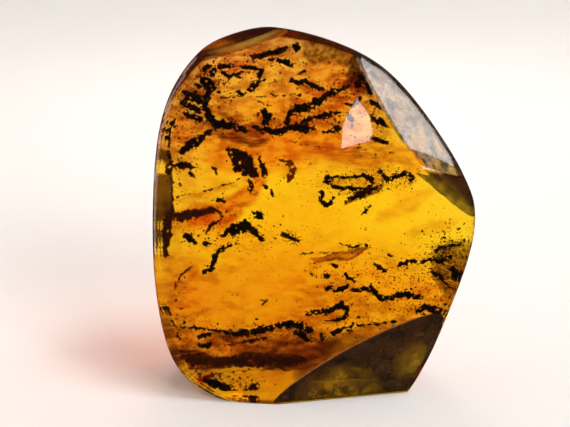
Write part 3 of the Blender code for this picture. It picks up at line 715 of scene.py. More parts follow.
# Broad washes that cover all of the surface between the flows: centre, half sizes, turn, cover, age.
WASHES = (
    (-8.0, 29.0, 32.0, 20.0, 8.0, 0.80, 0.07), (-26.5, 23.8, 9.0, 11.0, 0.0, 0.55, 0.20),
    # The wash at -17.5, 34.5 is painted shade: a rust-brown band under the top left ground face.
    (-17.5, 34.5, 17.0, 4.5, 22.0, 0.50, 0.32), (-26.5, 29.4, 6.0, 6.0, 0.0, 0.45, 0.40),
    (-19.8, 20.7, 14.0, 3.0, -6.0, 0.50, 0.38), (-6.3, 20.4, 11.0, 3.2, 5.0, 0.40, 0.30),
    (-0.7, 24.4, 9.0, 4.5, 25.0, 0.40, 0.25), (7.2, 28.7, 8.0, 5.0, -10.0, 0.55, 0.40),
    (4.0, 24.0, 15.0, 11.0, 0.0, 0.50, 0.04), (14.6, 21.6, 4.5, 6.5, -20.0, 0.40, 0.25),
    (8.3, 14.4, 16.0, 3.6, -3.0, 0.50, 0.18), (18.4, 13.7, 8.0, 3.5, -25.0, 0.38, 0.10),
    (6.0, 17.5, 11.0, 3.5, 0.0, 0.34, 0.12), (8.3, 7.4, 9.0, 2.6, 0.0, 0.36, 0.22),
    (-29.9, 17.0, 4.0, 9.0, 0.0, 0.50, 0.26), (-26.0, 6.0, 10.0, 18.0, 0.0, 0.45, 0.03),
    (-31.5, -7.6, 3.0, 13.0, 0.0, 0.40, 0.30), (-25.4, 0.2, 8.0, 3.2, 5.0, 0.50, 0.20),
    (-16.4, -4.3, 9.0, 4.4, 10.0, 0.34, 0.18), (-28.7, -15.5, 6.0, 10.0, 10.0, 0.45, 0.16),
    (0.0, -19.5, 50.0, 18.0, 0.0, 0.58, 0.0), (-24.5, -17.0, 9.0, 8.0, 0.0, 0.34, 0.12),
    (4.0, -18.0, 12.0, 6.5, 0.0, 0.40, 0.16), (-12.5, 15.0, 14.0, 7.5, 0.0, 0.75, 0.03),
    (10.0, 13.0, 22.0, 8.0, 0.0, 0.35, 0.03), (-3.0, 1.0, 13.0, 9.0, 0.0, 0.20, 0.0),
    (-2.9, -23.3, 13.0, 3.4, 5.0, 0.45, 0.20), (30.0, -12.0, 5.0, 8.0, 20.0, 0.50, 0.40),
    (23.0, -18.5, 11.0, 5.0, 8.0, 0.42, 0.12), (-22.0, -29.0, 14.0, 4.5, 0.0, 0.62, 0.40),
    (-26.0, -35.0, 7.0, 6.0, -30.0, 0.40, 0.30), (-4.5, -30.0, 11.0, 5.0, 15.0, 0.80, 0.56),
    (-30.5, -29.0, 3.5, 10.0, -15.0, 0.70, 0.50), (-9.7, -40.0, 14.0, 2.0, 5.0, 0.30, 0.30),
    (-20.0, 13.0, 12.0, 3.0, 0.0, 0.20, 0.05), (20.0, 3.0, 9.0, 2.2, 30.0, 0.38, 0.04),
    (26.0, -2.0, 7.0, 1.8, 20.0, 0.38, 0.08), (19.5, 8.0, 2.6, 5.0, -35.0, 0.30, 0.06),
)
WASH_CELL = 0.45


def washed(x, y):
    """Cover and age of the broad washes at a place."""
    x, y = warped(x, y, 40.0)
    clear, weight, aged = 1.0, 1e-6, 0.0
    for cx, cy, long, short, turn, cover, age in WASHES:
        c, s = math.cos(math.radians(turn)), math.sin(math.radians(turn))
        dx, dy = x - cx, y - cy
        near = 1.0 - math.hypot((c * dx + s * dy) / long, (c * dy - s * dx) / short)
        if near > 0.0:
            share = cover * min(1.0, 2.2 * near)
            clear *= 1.0 - share
            weight += share
            aged += share * age
    return 1.0 - clear, aged / weight


def edge_cover(bm, cover, steps=2):
    """Takes the cover to nothing where the sheet ends."""
    inner = inner_share(bm, steps)
    for v in bm.verts:
        v[cover] *= inner[v]


def wash_height(x, y):
    return skin_level(x, y) - 0.9 + 0.3 * noise.noise((0.2 * x, 0.2 * y, 6.0))


bm = bmesh.new()
cover, age = (bm.verts.layers.float.new(name) for name in ("cover", "age"))
faces = cut_sheet(
    bm, ((-36.0, -42.0), (36.0, 42.0)), 0.0, WASH_CELL, lambda x, y: sunk(Vector((x, y, wash_height(x, y))), 0.4),
)
for v in bm.verts:
    share, v[age] = washed(v.co.x, v.co.y)
    v[cover] = plated(share)
    v.co.z = wash_height(v.co.x, v.co.y)
ease_edge(bm, 3)
edge_cover(bm, cover)
close_plate(bm, faces, Vector((0.0, 0.0, FILM_THICKNESS)))
piece(bm, "flow_skin", "amber", [smooth_skin])


def film(name, stuff, depth, fade, outline, strength, aged=0.5, line=0.0):
    """A film that lies depth above the surface between the flows, and fades out at its outline."""
    bm = bmesh.new()
    cover, age = (bm.verts.layers.float.new(title) for title in ("cover", "age"))
    seed = outline[0][0] + 5.0 * fade
    closed = outline + outline[:1]

    def height(x, y):
        return skin_level(x, y) + depth + 0.3 * noise.noise((0.22 * x, 0.22 * y, seed + 2.0))

    def keep(x, y):
        return around(*warped(x, y, seed), outline) and sunk(Vector((x, y, height(x, y))), 0.4)

    faces = cut_sheet(bm, outline, 1.8, 0.32, keep)
    for v in bm.verts:
        far = nearest(*warped(v.co.x, v.co.y, seed), closed)[0]
        share = min(1.0, far / fade)
        rim = line * math.exp(-((far - 0.5) / 0.35) ** 2)
        v[cover] = plated(strength * share * share * (3.0 - 2.0 * share) * (1.0 + rim))
        v[age] = min(1.0, aged + 0.5 * rim)
        v.co.z = height(v.co.x, v.co.y)
    ease_edge(bm, 3)
    edge_cover(bm, cover, 1)
    close_plate(bm, faces, Vector((0.0, 0.0, FILM_THICKNESS)))
    return piece(bm, name, "amber", [stuff])


def around(x, y, outline):
    """True inside a closed outline."""
    within = False
    for (ax, ay), (bx, by) in zip(outline, outline[1:] + outline[:1]):
        if (ay > y) != (by > y) and x < ax + (y - ay) / (by - ay) * (bx - ax):
            within = not within
    return within


# Each film: stuff, depth, width of its soft edge, outline, cover, age and how dark its edge line is.
FILMS = {
    "tongue": (smooth_skin, -0.2, 1.9, ((-26.0, 3.5), (-21.5, 4.5), (-18.0, 6.5), (-15.0, 8.5),
        (-12.0, 11.0), (-8.0, 11.5), (-9.0, 8.0), (-11.5, 4.0), (-14.5, 0.0), (-19.0, -3.0),
        (-24.0, -3.8), (-28.0, -2.8), (-30.0, 0.0), (-29.5, 2.0)), 0.90, 0.05, 0.0),
    "rust_lens": (wood_skin, -0.4, 1.6, ((-24.5, 19.3), (-19.5, 19.5), (-15.0, 19.0),
        (-10.5, 18.0), (-9.0, 16.5), (-10.5, 15.0), (-13.5, 14.5), (-17.0, 15.5), (-20.5, 16.5)),
        0.92, 0.50, 0.5),
    "smudge": (smooth_skin, -0.4, 1.0, ((-22.5, 23.0), (-19.5, 23.5), (-16.5, 22.0), (-18.0, 21.0),
        (-21.5, 21.3)), 0.85, 0.55, 0.0),
    "crown_brown": (smooth_skin, -0.4, 2.0, ((-29.0, 26.0), (-26.5, 29.0), (-23.5, 32.0),
        (-18.0, 34.0), (-13.0, 36.0), (-6.5, 37.5), (-3.5, 38.0), (-1.0, 38.5), (-1.0, 36.5),
        (-5.5, 34.5), (-11.5, 33.0), (-13.5, 32.0), (-17.0, 32.0), (-21.5, 30.0), (-23.5, 27.0),
        (-27.0, 25.5)), 0.62, 0.40, 0.0),
    # crown_olive and crown_rim are painted shade: an olive darkening at the top of the stone.
    "crown_olive": (olive_film, -0.6, 2.0, ((-3.5, 34.0), (-3.5, 37.5), (0.0, 40.0), (5.0, 40.0),
        (9.0, 37.0), (10.5, 33.5), (10.0, 30.5), (6.5, 31.5), (3.0, 33.0), (-0.5, 33.0)), 0.85, 0.35),
    "crown_rim": (olive_film, -0.2, 1.2, ((4.5, 38.5), (9.5, 37.5), (13.0, 34.0), (13.0, 31.5),
        (12.0, 28.5), (8.5, 29.0), (6.5, 31.0), (7.5, 34.0), (4.5, 35.5)), 0.85, 0.75),
    "knot_stain": (smooth_skin, 0.2, 1.0, ((4.5, 29.5), (7.5, 31.5), (9.0, 31.5), (11.5, 29.5),
        (13.0, 26.0), (11.0, 26.0), (8.0, 27.0), (5.0, 27.5)), 0.72, 0.62, 0.0),
    "left_column": (smooth_skin, -0.4, 1.4, ((-30.5, 21.0), (-29.0, 24.0), (-25.5, 22.0),
        (-21.5, 20.0), (-22.0, 18.0), (-24.0, 16.5), (-27.0, 15.5), (-29.5, 13.0), (-31.5, 12.5),
        (-31.5, 16.5)), 0.40, 0.18, 0.3),
    "seed_pool_edge": (smooth_skin, -0.5, 1.6, ((-30.0, 5.5), (-23.5, 6.8), (-17.5, 8.8), (-14.0, 11.0),
        (-12.5, 8.5), (-16.0, 6.0), (-22.0, 4.0), (-29.0, 3.0)), 0.45, 0.12, 0.0),
    "grain": (wood_skin, -0.3, 1.4, ((-4.0, 18.5), (-0.5, 17.5), (3.5, 16.5), (6.5, 16.5),
        (10.0, 16.0), (14.5, 14.5), (16.0, 11.5), (15.0, 8.0), (12.5, 8.0), (11.0, 9.5),
        (8.0, 10.0), (5.5, 12.0), (1.0, 13.0), (-2.0, 13.5), (-4.0, 15.0)), 0.55, 0.26, 0.3),
    "bowl": (smooth_skin, -0.3, 0.9, ((5.5, 3.0), (8.0, 5.6), (12.0, 7.4), (15.5, 7.4), (14.0, 5.6),
        (10.0, 4.2), (7.0, 2.2)), 0.70, 0.46, 0.6),
    "red_lens": (smooth_skin, -0.3, 0.8, ((-3.0, -9.5), (1.0, -8.0), (5.0, -6.5), (9.0, -6.0),
        (12.5, -5.5), (12.8, -6.8), (10.5, -8.0), (7.5, -9.2), (3.5, -10.0), (-0.5, -10.5)),
        0.62, 0.26, 0.8),
    "band_haze": (smooth_skin, -0.5, 1.2, ((-24.5, -25.5), (-19.5, -25.5), (-15.0, -25.5),
        (-11.5, -25.0), (-7.5, -24.0), (-2.5, -24.0), (0.5, -25.0), (-1.0, -28.5), (-6.5, -30.0),
        (-11.5, -30.5), (-15.5, -31.0), (-19.0, -29.0), (-22.5, -29.5), (-25.5, -28.5)), 0.62, 0.50, 0.3),
    "slab_stain": (wood_skin, -0.5, 1.0, ((-31.5, -29.0), (-27.5, -29.3), (-24.0, -30.0),
        (-21.5, -31.0), (-18.0, -31.0), (-15.5, -30.5), (-13.5, -29.5), (-9.5, -29.6),
        (-2.0, -30.0), (0.5, -31.5), (-5.0, -33.5), (-11.5, -33.5), (-16.5, -33.7),
        (-19.5, -34.8), (-24.0, -34.8), (-27.5, -34.4), (-29.5, -32.0)), 0.92, 0.72, 0.4),
    "lower_haze": (smooth_skin, -0.3, 1.8, ((-13.0, -27.5), (-8.5, -26.5), (-3.0, -25.5),
        (1.0, -27.5), (4.0, -27.0), (8.5, -25.5), (5.5, -29.0), (-0.5, -32.0), (-5.0, -34.5),
        (-11.5, -33.5), (-14.5, -32.0), (-15.5, -30.0)), 0.52, 0.62, 0.0),
    "crease_shade": (smooth_skin, 0.0, 1.3, ((-6.0, -32.5), (-4.0, -29.5), (2.5, -26.0), (7.0, -24.2),
        (10.5, -23.0), (18.0, -22.3), (23.0, -21.0), (28.5, -19.0), (29.5, -20.5), (27.0, -23.5),
        (19.5, -26.0), (12.5, -29.0), (7.0, -31.5), (1.5, -34.5), (-3.0, -37.0), (-5.5, -35.5)),
        0.66, 0.58, 0.0),
    "olive_right": (olive_film, -0.3, 1.6, ((25.5, -6.0), (29.5, -5.0), (32.5, -5.0), (35.5, -7.0),
        (35.0, -12.0), (33.0, -17.0), (30.5, -20.0), (27.5, -20.0), (27.0, -15.5), (24.5, -11.0)), 0.75, 0.60),
    "lower_left_rim": (wood_skin, 0.2, 1.4, ((-32.5, -18.5), (-31.0, -20.0), (-30.0, -24.5),
        (-30.0, -29.5), (-27.5, -33.5), (-25.0, -36.0), (-22.0, -38.5), (-26.0, -39.5), (-33.0, -32.0),
        (-35.0, -24.0)), 0.75, 0.60, 0.3),
    "lower_glow": (smooth_skin, 1.8, 1.0, ((-21.0, -35.5), (-15.5, -33.8), (-11.0, -33.2), (-6.0, -33.0),
        (-0.5, -33.0), (-1.5, -36.0), (-4.0, -41.0), (-12.0, -41.0), (-19.0, -40.5)), 0.30, 0.0),
    # The next film is a painted sheen along the left rim, not a stain.
    "left_rim_sheen": (painted_sheen_film, 0.9, 0.6, ((-36.0, 15.1), (-33.0, 16.2), (-31.5, 14.8), (-31.3, 12.0),
        (-32.6, 10.6), (-33.6, 12.8), (-34.6, 13.2), (-34.6, 11.5), (-33.4, 9.4), (-31.2, 9.0), (-30.8, 5.0),
        (-30.1, 2.9), (-31.5, 0.9), (-32.1, -1.3), (-32.4, -4.3), (-33.0, -8.1), (-33.5, -10.8),
        (-33.9, -6.5), (-34.5, -2.0), (-34.6, 1.5), (-36.0, 4.0)), 0.97),
    "left_haze": (smooth_skin, 0.2, 1.0, ((-28.0, -11.0), (-26.0, -10.0), (-25.5, -12.0),
        (-27.5, -14.5), (-29.5, -18.5), (-31.0, -22.5), (-32.0, -18.5), (-31.0, -15.0)), 0.26, 0.25, 0.8),
}
for title, row in FILMS.items():
    film(title, *row)


def face_axes(angle, lift):
    """The normal of a ground face, and its own two axes: across it and up it."""
    normal, across = direction(angle, lift), direction(angle + 90.0)
    return normal, across, normal.cross(across)


@functools.lru_cache(maxsize=None)
def face_end(plane, s, way, inset=0.1):
    """Where a ground face ends above (way 1) or below (way -1), at s across it and this far under it."""
    normal, across, up = face_axes(*plane[:2])
    t = 46.0 * way
    for back, step in ((0.0, 1.0), (1.0, 0.2), (0.2, 0.04)):
        t += back * way
        while abs(t) < 48.0 and not sunk(across * s + up * t + normal * (plane[2] - inset), 0.08):
            t -= step * way
    return t


def face_film(name, stuff, plane, inset, beyond, cover_at):
    """A film just under a ground face, as far as the beyond planes reach; several are painted shade, and one is a
    painted highlight.

    cover_at gives its cover in the face's own axes."""
    away = plane[2]
    normal, across, up = face_axes(*plane[:2])
    bm = bmesh.new()
    cover = bm.verts.layers.float.new("cover")

    def place(s, t):
        return across * s + up * t + normal * (away - inset)

    def keep(s, t):
        point = place(s, t)
        return sunk(point, 0.1) and all(point.dot(direction(*other[:2])) > other[2] - inset for other in beyond)

    faces = cut_sheet(bm, ((-32.0, -42.0), (32.0, 42.0)), 0.0, 0.36, keep)
    for v in bm.verts:
        v[cover] = plated(cover_at(v.co.x, v.co.y))
    ease_edge(bm, 5)
    for v in bm.verts:
        v.co = place(v.co.x, v.co.y)
    close_plate(bm, faces, normal * FILM_THICKNESS)
    return piece(bm, name, "amber", [stuff])


def patch(s, t, centre, size):
    """1 in the middle of an oval patch, falling to 0 at its edge."""
    return max(0.0, 1.0 - math.hypot((s - centre[0]) / size[0], (t - centre[1]) / size[1]) ** 2)


# Cover of the painted shade under the lower right ground face: nearly whole, clearer in two patches and broken up by
# blots.
def lower_right_cover(s, t):
    clearer = 0.27 * patch(s, t, (-13.0, -33.0), (11.0, 11.0)) + 0.14 * patch(s, t, (6.0, -33.0), (5.5, 7.0))
    blots = noise.noise((0.35 * s, 0.35 * t, 3.0)) + 0.9 * noise.noise((1.1 * s, 1.1 * t, 9.0))
    return min(0.99, 0.985 - clearer * max(0.2, 1.0 + 1.8 * blots) + 0.05 * blots)


def base_cover(s, t):
    return 0.30 * min(1.0, max(0.0, -3.0 - s) / 3.0)


# Cover of the olive painted shade along the base.
def base_olive_cover(s, t):
    return 0.50 * min(1.0, max(0.0, 6.0 + s) / 3.0)


# Cover of the painted shade along the front edge of the base face, the stone's bottom edge in view.
def base_edge_cover(s, t):
    return 0.85 * min(1.0, max(0.0, 3.0 - face_end(BASE, round(s), 1) + t) / 2.5)


def shoulder_edge(s, t):
    """How far in from the outer edge of the shoulder."""
    return t - face_end(SHOULDER, round(s), -1)


def shoulder_cover(s, t):
    blots = noise.noise((0.30 * s, 0.30 * t, 8.0)) + 0.7 * noise.noise((0.9 * s, 0.9 * t, 2.0))
    corner = -7.0 - 0.33 * max(0.0, 5.0 - s) + 1.5 * noise.noise((0.5 * s, 0.5 * t, 5.0)) - t
    inside = min(1.0, max(0.0, 1.5 * min(shoulder_edge(s, t) - 1.2, corner)))
    return inside * min(0.97, max(0.55, 0.85 + 0.9 * blots))


# Cover of the painted shade along the outer edge of the shoulder.
def shoulder_rim_cover(s, t):
    return 0.93 * min(1.0, max(0.0, 2.0 * (1.9 - shoulder_edge(s, t))))


def bevel_cover(s, t):
    return 0.88 + 0.25 * noise.noise((0.3 * s, 1.5 * t, 4.0))


# Cover of the painted highlight: a bright crescent across the top left ground face.
def crescent_cover(s, t):
    sag = t + 13.3 + 0.02 * (s - 2.5) ** 2
    return 0.98 * math.sqrt(patch(s, sag, (2.5, 0.0), (8.5, 1.5)))


def bevel_shade_cover(s, t):
    return 0.94 * math.sqrt(patch(s, t, (-2.5, -17.5), (9.0, 3.2)))


# Cover of the painted shade under the hip ground face, uneven at random.
def hip_cover(s, t):
    return 0.80 + 0.20 * noise.noise((0.5 * s, 0.5 * t, 1.0))


# Painted shade: the lower right ground face darkened.
face_film("lower_right_shade", painted_shade_film, LOWER_RIGHT, 0.55, (), lower_right_cover)
face_film("base_skin", smooth_skin, BASE, 0.4, (), base_cover)
# Painted shade: an olive darkening along the base.
face_film("base_olive", olive_film, BASE, 0.3, (), base_olive_cover)
# Painted shade: the stone's bottom edge darkened.
face_film("base_edge", painted_shade_film, BASE, 0.2, (), base_edge_cover)
face_film("top_left_skin", bevel_skin, TOP_LEFT, 0.6, (), bevel_cover)
face_film("top_left_shade", shade_skin, TOP_LEFT, 0.45, (), bevel_shade_cover)
# Painted highlight: the bright crescent on the top left ground face.
face_film("top_left_gleam", painted_gleam_film, TOP_LEFT, 0.3, (), crescent_cover)
face_film("shoulder_skin", frosted_skin, SHOULDER, 0.6, (HIP,), shoulder_cover)
# Painted shade: a dark line along the outer edge of the shoulder.
face_film("shoulder_rim", painted_shade_film, SHOULDER, 0.9, (HIP,), shoulder_rim_cover)
# Painted shade: the hip ground face darkened.
face_film("hip_shade", painted_shade_film, HIP, 1.4, (SHOULDER,), hip_cover)

# Along its top the lower right shade film ends in a fine bright line where it comes out at the crease: a painted
# highlight for the light that the rounded crease catches.
LINE_ENDS = (-23.0, 13.5)
normal, across, up = face_axes(*LOWER_RIGHT[:2])
bm = bmesh.new()
cover = bm.verts.layers.float.new("cover")
rows = []
for step in range(int(LINE_ENDS[0] * 10), int(LINE_ENDS[1] * 10)):
    s = 0.1 * step
    t = face_end(LOWER_RIGHT, s, 1, 0.5)
    wide = min(1.0, 0.3 * (s - LINE_ENDS[0]), 0.2 * (LINE_ENDS[1] - s))
    wide *= 0.17 + 0.08 * noise.noise((0.9 * s, 0.0, 4.0))
    rows.append([bm.verts.new(across * s + up * (t + d) + normal * (LOWER_RIGHT[2] - 0.5)) for d in (-wide, wide)])
for v in bm.verts:
    v[cover] = plated(0.98)
faces = [bm.faces.new((*one, *two[::-1])) for one, two in zip(rows, rows[1:])]
close_plate(bm, faces, normal * FILM_THICKNESS)
piece(bm, "crease_highlight", "amber", [painted_highlight_film])

# ---------------------------------------------------------------- insects
# Two small winged insects caught on the sticky skin of the first flow: the larger lies flat on its
# side with its wings folded along it, and the smaller lies with one wing raised.
# Lengths here are shares of the body's length, x towards the head and z out of the stone.
LARGE = (-5.3, -4.2, -22.0, 4.6)
SMALL = (-10.9, -18.6, 40.0, 2.1)

chitin = plant_stuff("chitin", (0.006, 0.003, 0.002), (0.020, 0.007, 0.003), (0.030, 0.012, 0.005))
wing_film, tree, shader, output = blank("wing_film")
broad, fine = mottle(tree, 0.25, 2.0)
tree.links.new(two_tone(tree, fine, (0.010, 0.004, 0.002), (0.045, 0.016, 0.005)), shader.inputs["Base Color"])
tree.links.new(between(tree, broad, 0.55, 0.85), shader.inputs["Alpha"])
shader.inputs["Roughness"].default_value = 0.3


def lump(bm, centre, half, turn=0.0):
    """Adds one rounded body segment."""
    place = Matrix.Translation(centre) @ Matrix.Rotation(math.radians(turn), 4, "Z")
    bmesh.ops.create_uvsphere(
        bm, u_segments=20, v_segments=14, radius=1.0,
        matrix=place @ Matrix.Rotation(math.radians(90.0), 4, "Y") @ Matrix.Diagonal((half[2], half[1], half[0], 1.0)),
    )


def limb(bm, points, thick, thin):
    """Adds a jointed limb: a tapering rod between each two points, with a knob at each joint."""
    last = len(points) - 1
    for k in range(last):
        a, b = Vector(points[k]), Vector(points[k + 1])
        start, end = (thick + (thin - thick) * (k + step) / last for step in (0, 1))
        turn = (b - a).to_track_quat("Z", "Y").to_matrix().to_4x4()
        bmesh.ops.create_cone(
            bm, cap_ends=True, segments=8, radius1=start, radius2=end, depth=(b - a).length,
            matrix=Matrix.Translation((a + b) / 2.0) @ turn,
        )
        bmesh.ops.create_icosphere(bm, subdivisions=1, radius=1.15 * end, matrix=Matrix.Translation(b))


def wing(bm, root, tip, width, droop):
    """Adds one long oval wing, a thin plate that is narrow at its root."""
    a, b = Vector(root), Vector(tip)
    turn = (b - a).to_track_quat("X", "Z").to_matrix().to_4x4()
    half = (b - a).length / 2.0
    verts = bmesh.ops.create_circle(bm, cap_ends=True, segments=28, radius=1.0)["verts"]
    for v in verts:
        v.co.y *= 0.62 + 0.38 * v.co.x
        v.co.z = droop * v.co.x * v.co.x
        v.co = Matrix.Translation((a + b) / 2.0) @ turn @ Vector((v.co.x * half, v.co.y * width, v.co.z))
    faces = list({face for v in verts for face in v.link_faces})
    bmesh.ops.solidify(bm, geom=faces, thickness=0.012)
    return faces


def set_down(bm, spot):
    x, y, turn, length = spot
    place = Matrix.Translation((x, y, flow(x, y))) @ Matrix.Rotation(math.radians(turn), 4, "Z")
    bmesh.ops.transform(bm, matrix=place @ Matrix.Scale(length, 4), verts=bm.verts)


bm = bmesh.new()
lump(bm, (0.40, 0.0, 0.0), (0.085, 0.075, 0.07))
lump(bm, (0.23, 0.0, 0.01), (0.12, 0.095, 0.09))
for k in range(6):
    share = k / 5.0
    lump(bm, (0.08 - 0.50 * share, 0.02 * math.sin(3.0 * share), 0.0),
         (0.075, 0.088 - 0.050 * share * share, 0.080 - 0.045 * share * share))
for side in (-1, 1):
    lump(bm, (0.43, 0.055 * side, 0.02), (0.035, 0.03, 0.035))
    limb(bm, ((0.46, 0.03 * side, 0.02), (0.53, 0.09 * side, 0.04), (0.62, 0.12 * side, 0.03)), 0.012, 0.006)
    for root, knee, ankle, foot in (
        (0.28, (0.36, 0.20), (0.43, 0.30), (0.50, 0.33)),
        (0.21, (0.22, 0.26), (0.14, 0.40), (0.16, 0.48)),
        (0.14, (0.00, 0.23), (-0.18, 0.33), (-0.28, 0.34)),
    ):
        points = [(root, 0.07 * side, -0.02)]
        for k, (x, y) in enumerate((knee, ankle, foot)):
            points.append((x, (y * 0.66 + 0.03) * side, (0.06, -0.01, -0.03)[k]))
        limb(bm, points, 0.020, 0.008)
body_faces = set(bm.faces)
wing(bm, (0.22, 0.03, 0.09), (-0.52, 0.10, 0.05), 0.085, 0.01)
wing(bm, (0.22, -0.03, 0.09), (-0.50, -0.07, 0.06), 0.085, 0.01)
for face in bm.faces:
    face.material_index = 0 if face in body_faces else 1
set_down(bm, LARGE)
piece(bm, "insect_large_detail", "insect_dark", [chitin, wing_film], "insect_large")

bm = bmesh.new()
lump(bm, (0.36, 0.0, 0.0), (0.10, 0.09, 0.09))
lump(bm, (0.18, 0.0, 0.01), (0.15, 0.12, 0.12))
for k in range(4):
    share = k / 3.0
    lump(bm, (0.02 - 0.34 * share, -0.02 * share, 0.0), (0.10, 0.105 - 0.05 * share, 0.10 - 0.05 * share))
for side in (-1, 1):
    limb(bm, ((0.43, 0.03 * side, 0.02), (0.52, 0.10 * side, 0.03)), 0.014, 0.008)
    for root, knee, foot in ((0.22, 0.34, 0.44), (0.16, 0.12, 0.06), (0.08, -0.10, -0.24)):
        limb(bm, ((root, 0.08 * side, 0.0), (knee, 0.24 * side, 0.05), (foot, 0.36 * side, -0.03)), 0.02, 0.009)
body_faces = set(bm.faces)
wing(bm, (0.14, 0.06, 0.10), (-0.22, 0.52, 0.14), 0.11, 0.02)
wing(bm, (0.12, -0.03, 0.10), (-0.50, -0.10, 0.08), 0.11, 0.02)
for face in bm.faces:
    face.material_index = 0 if face in body_faces else 1
set_down(bm, SMALL)
piece(bm, "insect_small_detail", "insect_dark", [chitin, wing_film], "insect_small")

# ---------------------------------------------------------------- bubbles and spangles
# Small gas bubbles just under the lower right ground face and beside the bands, and spangles:
# tiny flat cracks that opened round trapped gas and flash like mirrors where they are tilted.
BUBBLE_IOR = 1.0 / 1.54
bubble, tree, shader, output = blank("bubble")
shader.inputs["Transmission Weight"].default_value = 1.0
shader.inputs["IOR"].default_value = BUBBLE_IOR
broad, fine = mottle(tree, 0.3)
tree.links.new(between(tree, fine, 0.0, 0.08), shader.inputs["Roughness"])
shader.inputs["Base Color"].default_value = (1.0, 1.0, 1.0, 1.0)


def face_point(plane, s, t, inset):
    """A point under a ground face, from the place s, t on that face."""
    normal, across, up = face_axes(*plane[:2])
    return across * s + up * t + normal * (plane[2] - inset)


bm = bmesh.new()
for _ in range(70):
    spot = face_point(LOWER_RIGHT, draw.uniform(-20.0, 14.0), draw.uniform(-38.0, -20.0), 0.32)
    if sunk(spot, 0.2):
        size = 0.09 * draw.lognormvariate(0.0, 0.35)
        bmesh.ops.create_icosphere(bm, subdivisions=2, radius=size, matrix=Matrix.Translation(spot))
for _ in range(90):
    x, y = draw.gauss(0.0, 18.0), draw.gauss(-2.0, 20.0)
    spot = Vector((x, y, flow(x, y) + draw.uniform(0.4, 2.5)))
    if sunk(spot, 0.8):
        size = 0.10 * draw.lognormvariate(0.0, 0.4)
        bmesh.ops.create_icosphere(bm, subdivisions=2, radius=size, matrix=Matrix.Translation(spot))
piece(bm, "bubbles", "amber", [bubble])

# Each spangle: its place x, y, its long and short half, and its turn and tilts.
SPANGLES = (
    (-2.2, 20.6, 0.75, 0.40, 50.0, 40.0, -25.0), (-13.0, -32.2, 0.95, 0.22, 55.0, -38.0, 20.0),
    (-26.5, -33.0, 0.9, 0.35, -60.0, 20.0, -50.0), (-21.8, -36.0, 0.6, 0.28, 20.0, -50.0, 10.0),
    (-14.5, -25.3, 0.55, 0.16, 20.0, -45.0, 0.0), (-24.0, -31.3, 0.7, 0.16, 10.0, -46.0, 0.0),
    (6.4, -27.4, 0.5, 0.16, 60.0, 44.0, 10.0), (6.6, -35.6, 0.55, 0.18, 70.0, 46.0, -12.0),
    (-4.6, -27.0, 0.3, 0.2, 0.0, -44.0, 20.0), (-20.6, 22.6, 0.35, 0.14, 30.0, 45.0, 0.0),
    (-15.8, 20.2, 0.5, 0.12, -30.0, -46.0, 0.0), (4.0, 35.2, 0.6, 0.12, -60.0, 46.0, 0.0),
)
bm = bmesh.new()
for x, y, long, short, turn, tip, roll in SPANGLES:
    place = Matrix.Translation((x, y, flow(x, y) + 0.9)) @ Matrix.Rotation(math.radians(turn), 4, "Z")
    place = place @ Matrix.Rotation(math.radians(tip), 4, "X") @ Matrix.Rotation(math.radians(roll), 4, "Y")
    if sunk(place.translation, 0.9):
        bmesh.ops.create_uvsphere(
            bm, u_segments=24, v_segments=8, radius=1.0, matrix=place @ Matrix.Diagonal((long, short, 0.03, 1.0)),
        )
piece(bm, "spangles", "amber", [bubble])

# ---------------------------------------------------------------- stage and camera
# A sheet of pale paper that curves up behind the stone, a soft key light high on the right, two
# windows and a small warm light on the paper beside the stone, in metres.
FLOOR_RADIUS = 0.55
WALL = ((0.55, 0.0), (0.70, 0.02), (0.80, 0.09), (0.84, 0.20), (0.85, 1.30))
AIR_GAP = 0.0001
FRONT = ((0.55, 0.0), (1.30, 0.0), (1.48, 0.05), (1.56, 0.16), (1.60, 1.00))


def aim(made, azimuth, elevation, distance, target):
    """Places a light by its direction from the target; azimuth 0 is in front, 90 at the right."""
    a, e = math.radians(azimuth), math.radians(elevation)
    away = Vector((math.sin(a) * math.cos(e), -math.cos(a) * math.cos(e), math.sin(e)))
    made.location = Vector(target) + away * distance
    made.rotation_euler = away.to_track_quat("Z", "Y").to_euler()


def lamp(name, azimuth, elevation, distance, size, radiance, color=(1.0, 1.0, 1.0), target=(0.0, 0.0, 0.04)):
    """A soft rectangle of light that faces its target."""
    light = bpy.data.lights.new(name, "AREA")
    light.shape = "RECTANGLE"
    light.size, light.size_y = size
    light.energy = radiance * math.pi * size[0] * size[1]
    light.color = color
    made = bpy.data.objects.new(name, light)
    bpy.context.scene.collection.objects.link(made)
    made.visible_camera = False
    aim(made, azimuth, elevation, distance, target)
    return made


paper, tree, shader, output = blank("paper")
shader.inputs["Base Color"].default_value = (0.86, 0.832, 0.81, 1.0)
shader.inputs["Roughness"].default_value = 0.9
bm = bmesh.new()
bmesh.ops.create_circle(bm, cap_ends=True, segments=72, radius=FLOOR_RADIUS)
for profile, start, turn in ((WALL, -30.0, 240.0), (FRONT, 210.0, 120.0)):
    points = [bm.verts.new(direction(start) * r + Vector((0.0, 0.0, z))) for r, z in profile]
    lines = [bm.edges.new(pair) for pair in zip(points, points[1:])]
    bmesh.ops.spin(
        bm, geom=points + lines, cent=(0.0, 0.0, 0.0), axis=(0.0, 0.0, 1.0),
        angle=math.radians(turn), steps=round(turn / 5.0), use_merge=False, use_duplicate=False,
    )
bmesh.ops.remove_doubles(bm, verts=bm.verts, dist=1e-5)
bmesh.ops.recalc_face_normals(bm, faces=bm.faces)
bmesh.ops.translate(bm, vec=(0.0, 0.0, -AIR_GAP), verts=bm.verts)
for face in bm.faces:
    face.smooth = True
mesh = bpy.data.meshes.new("paper")
bm.to_mesh(mesh)
bm.free()
mesh.materials.append(paper)
ground = bpy.data.objects.new("paper", mesh)
bpy.context.scene.collection.objects.link(ground)
ground.visible_glossy = False

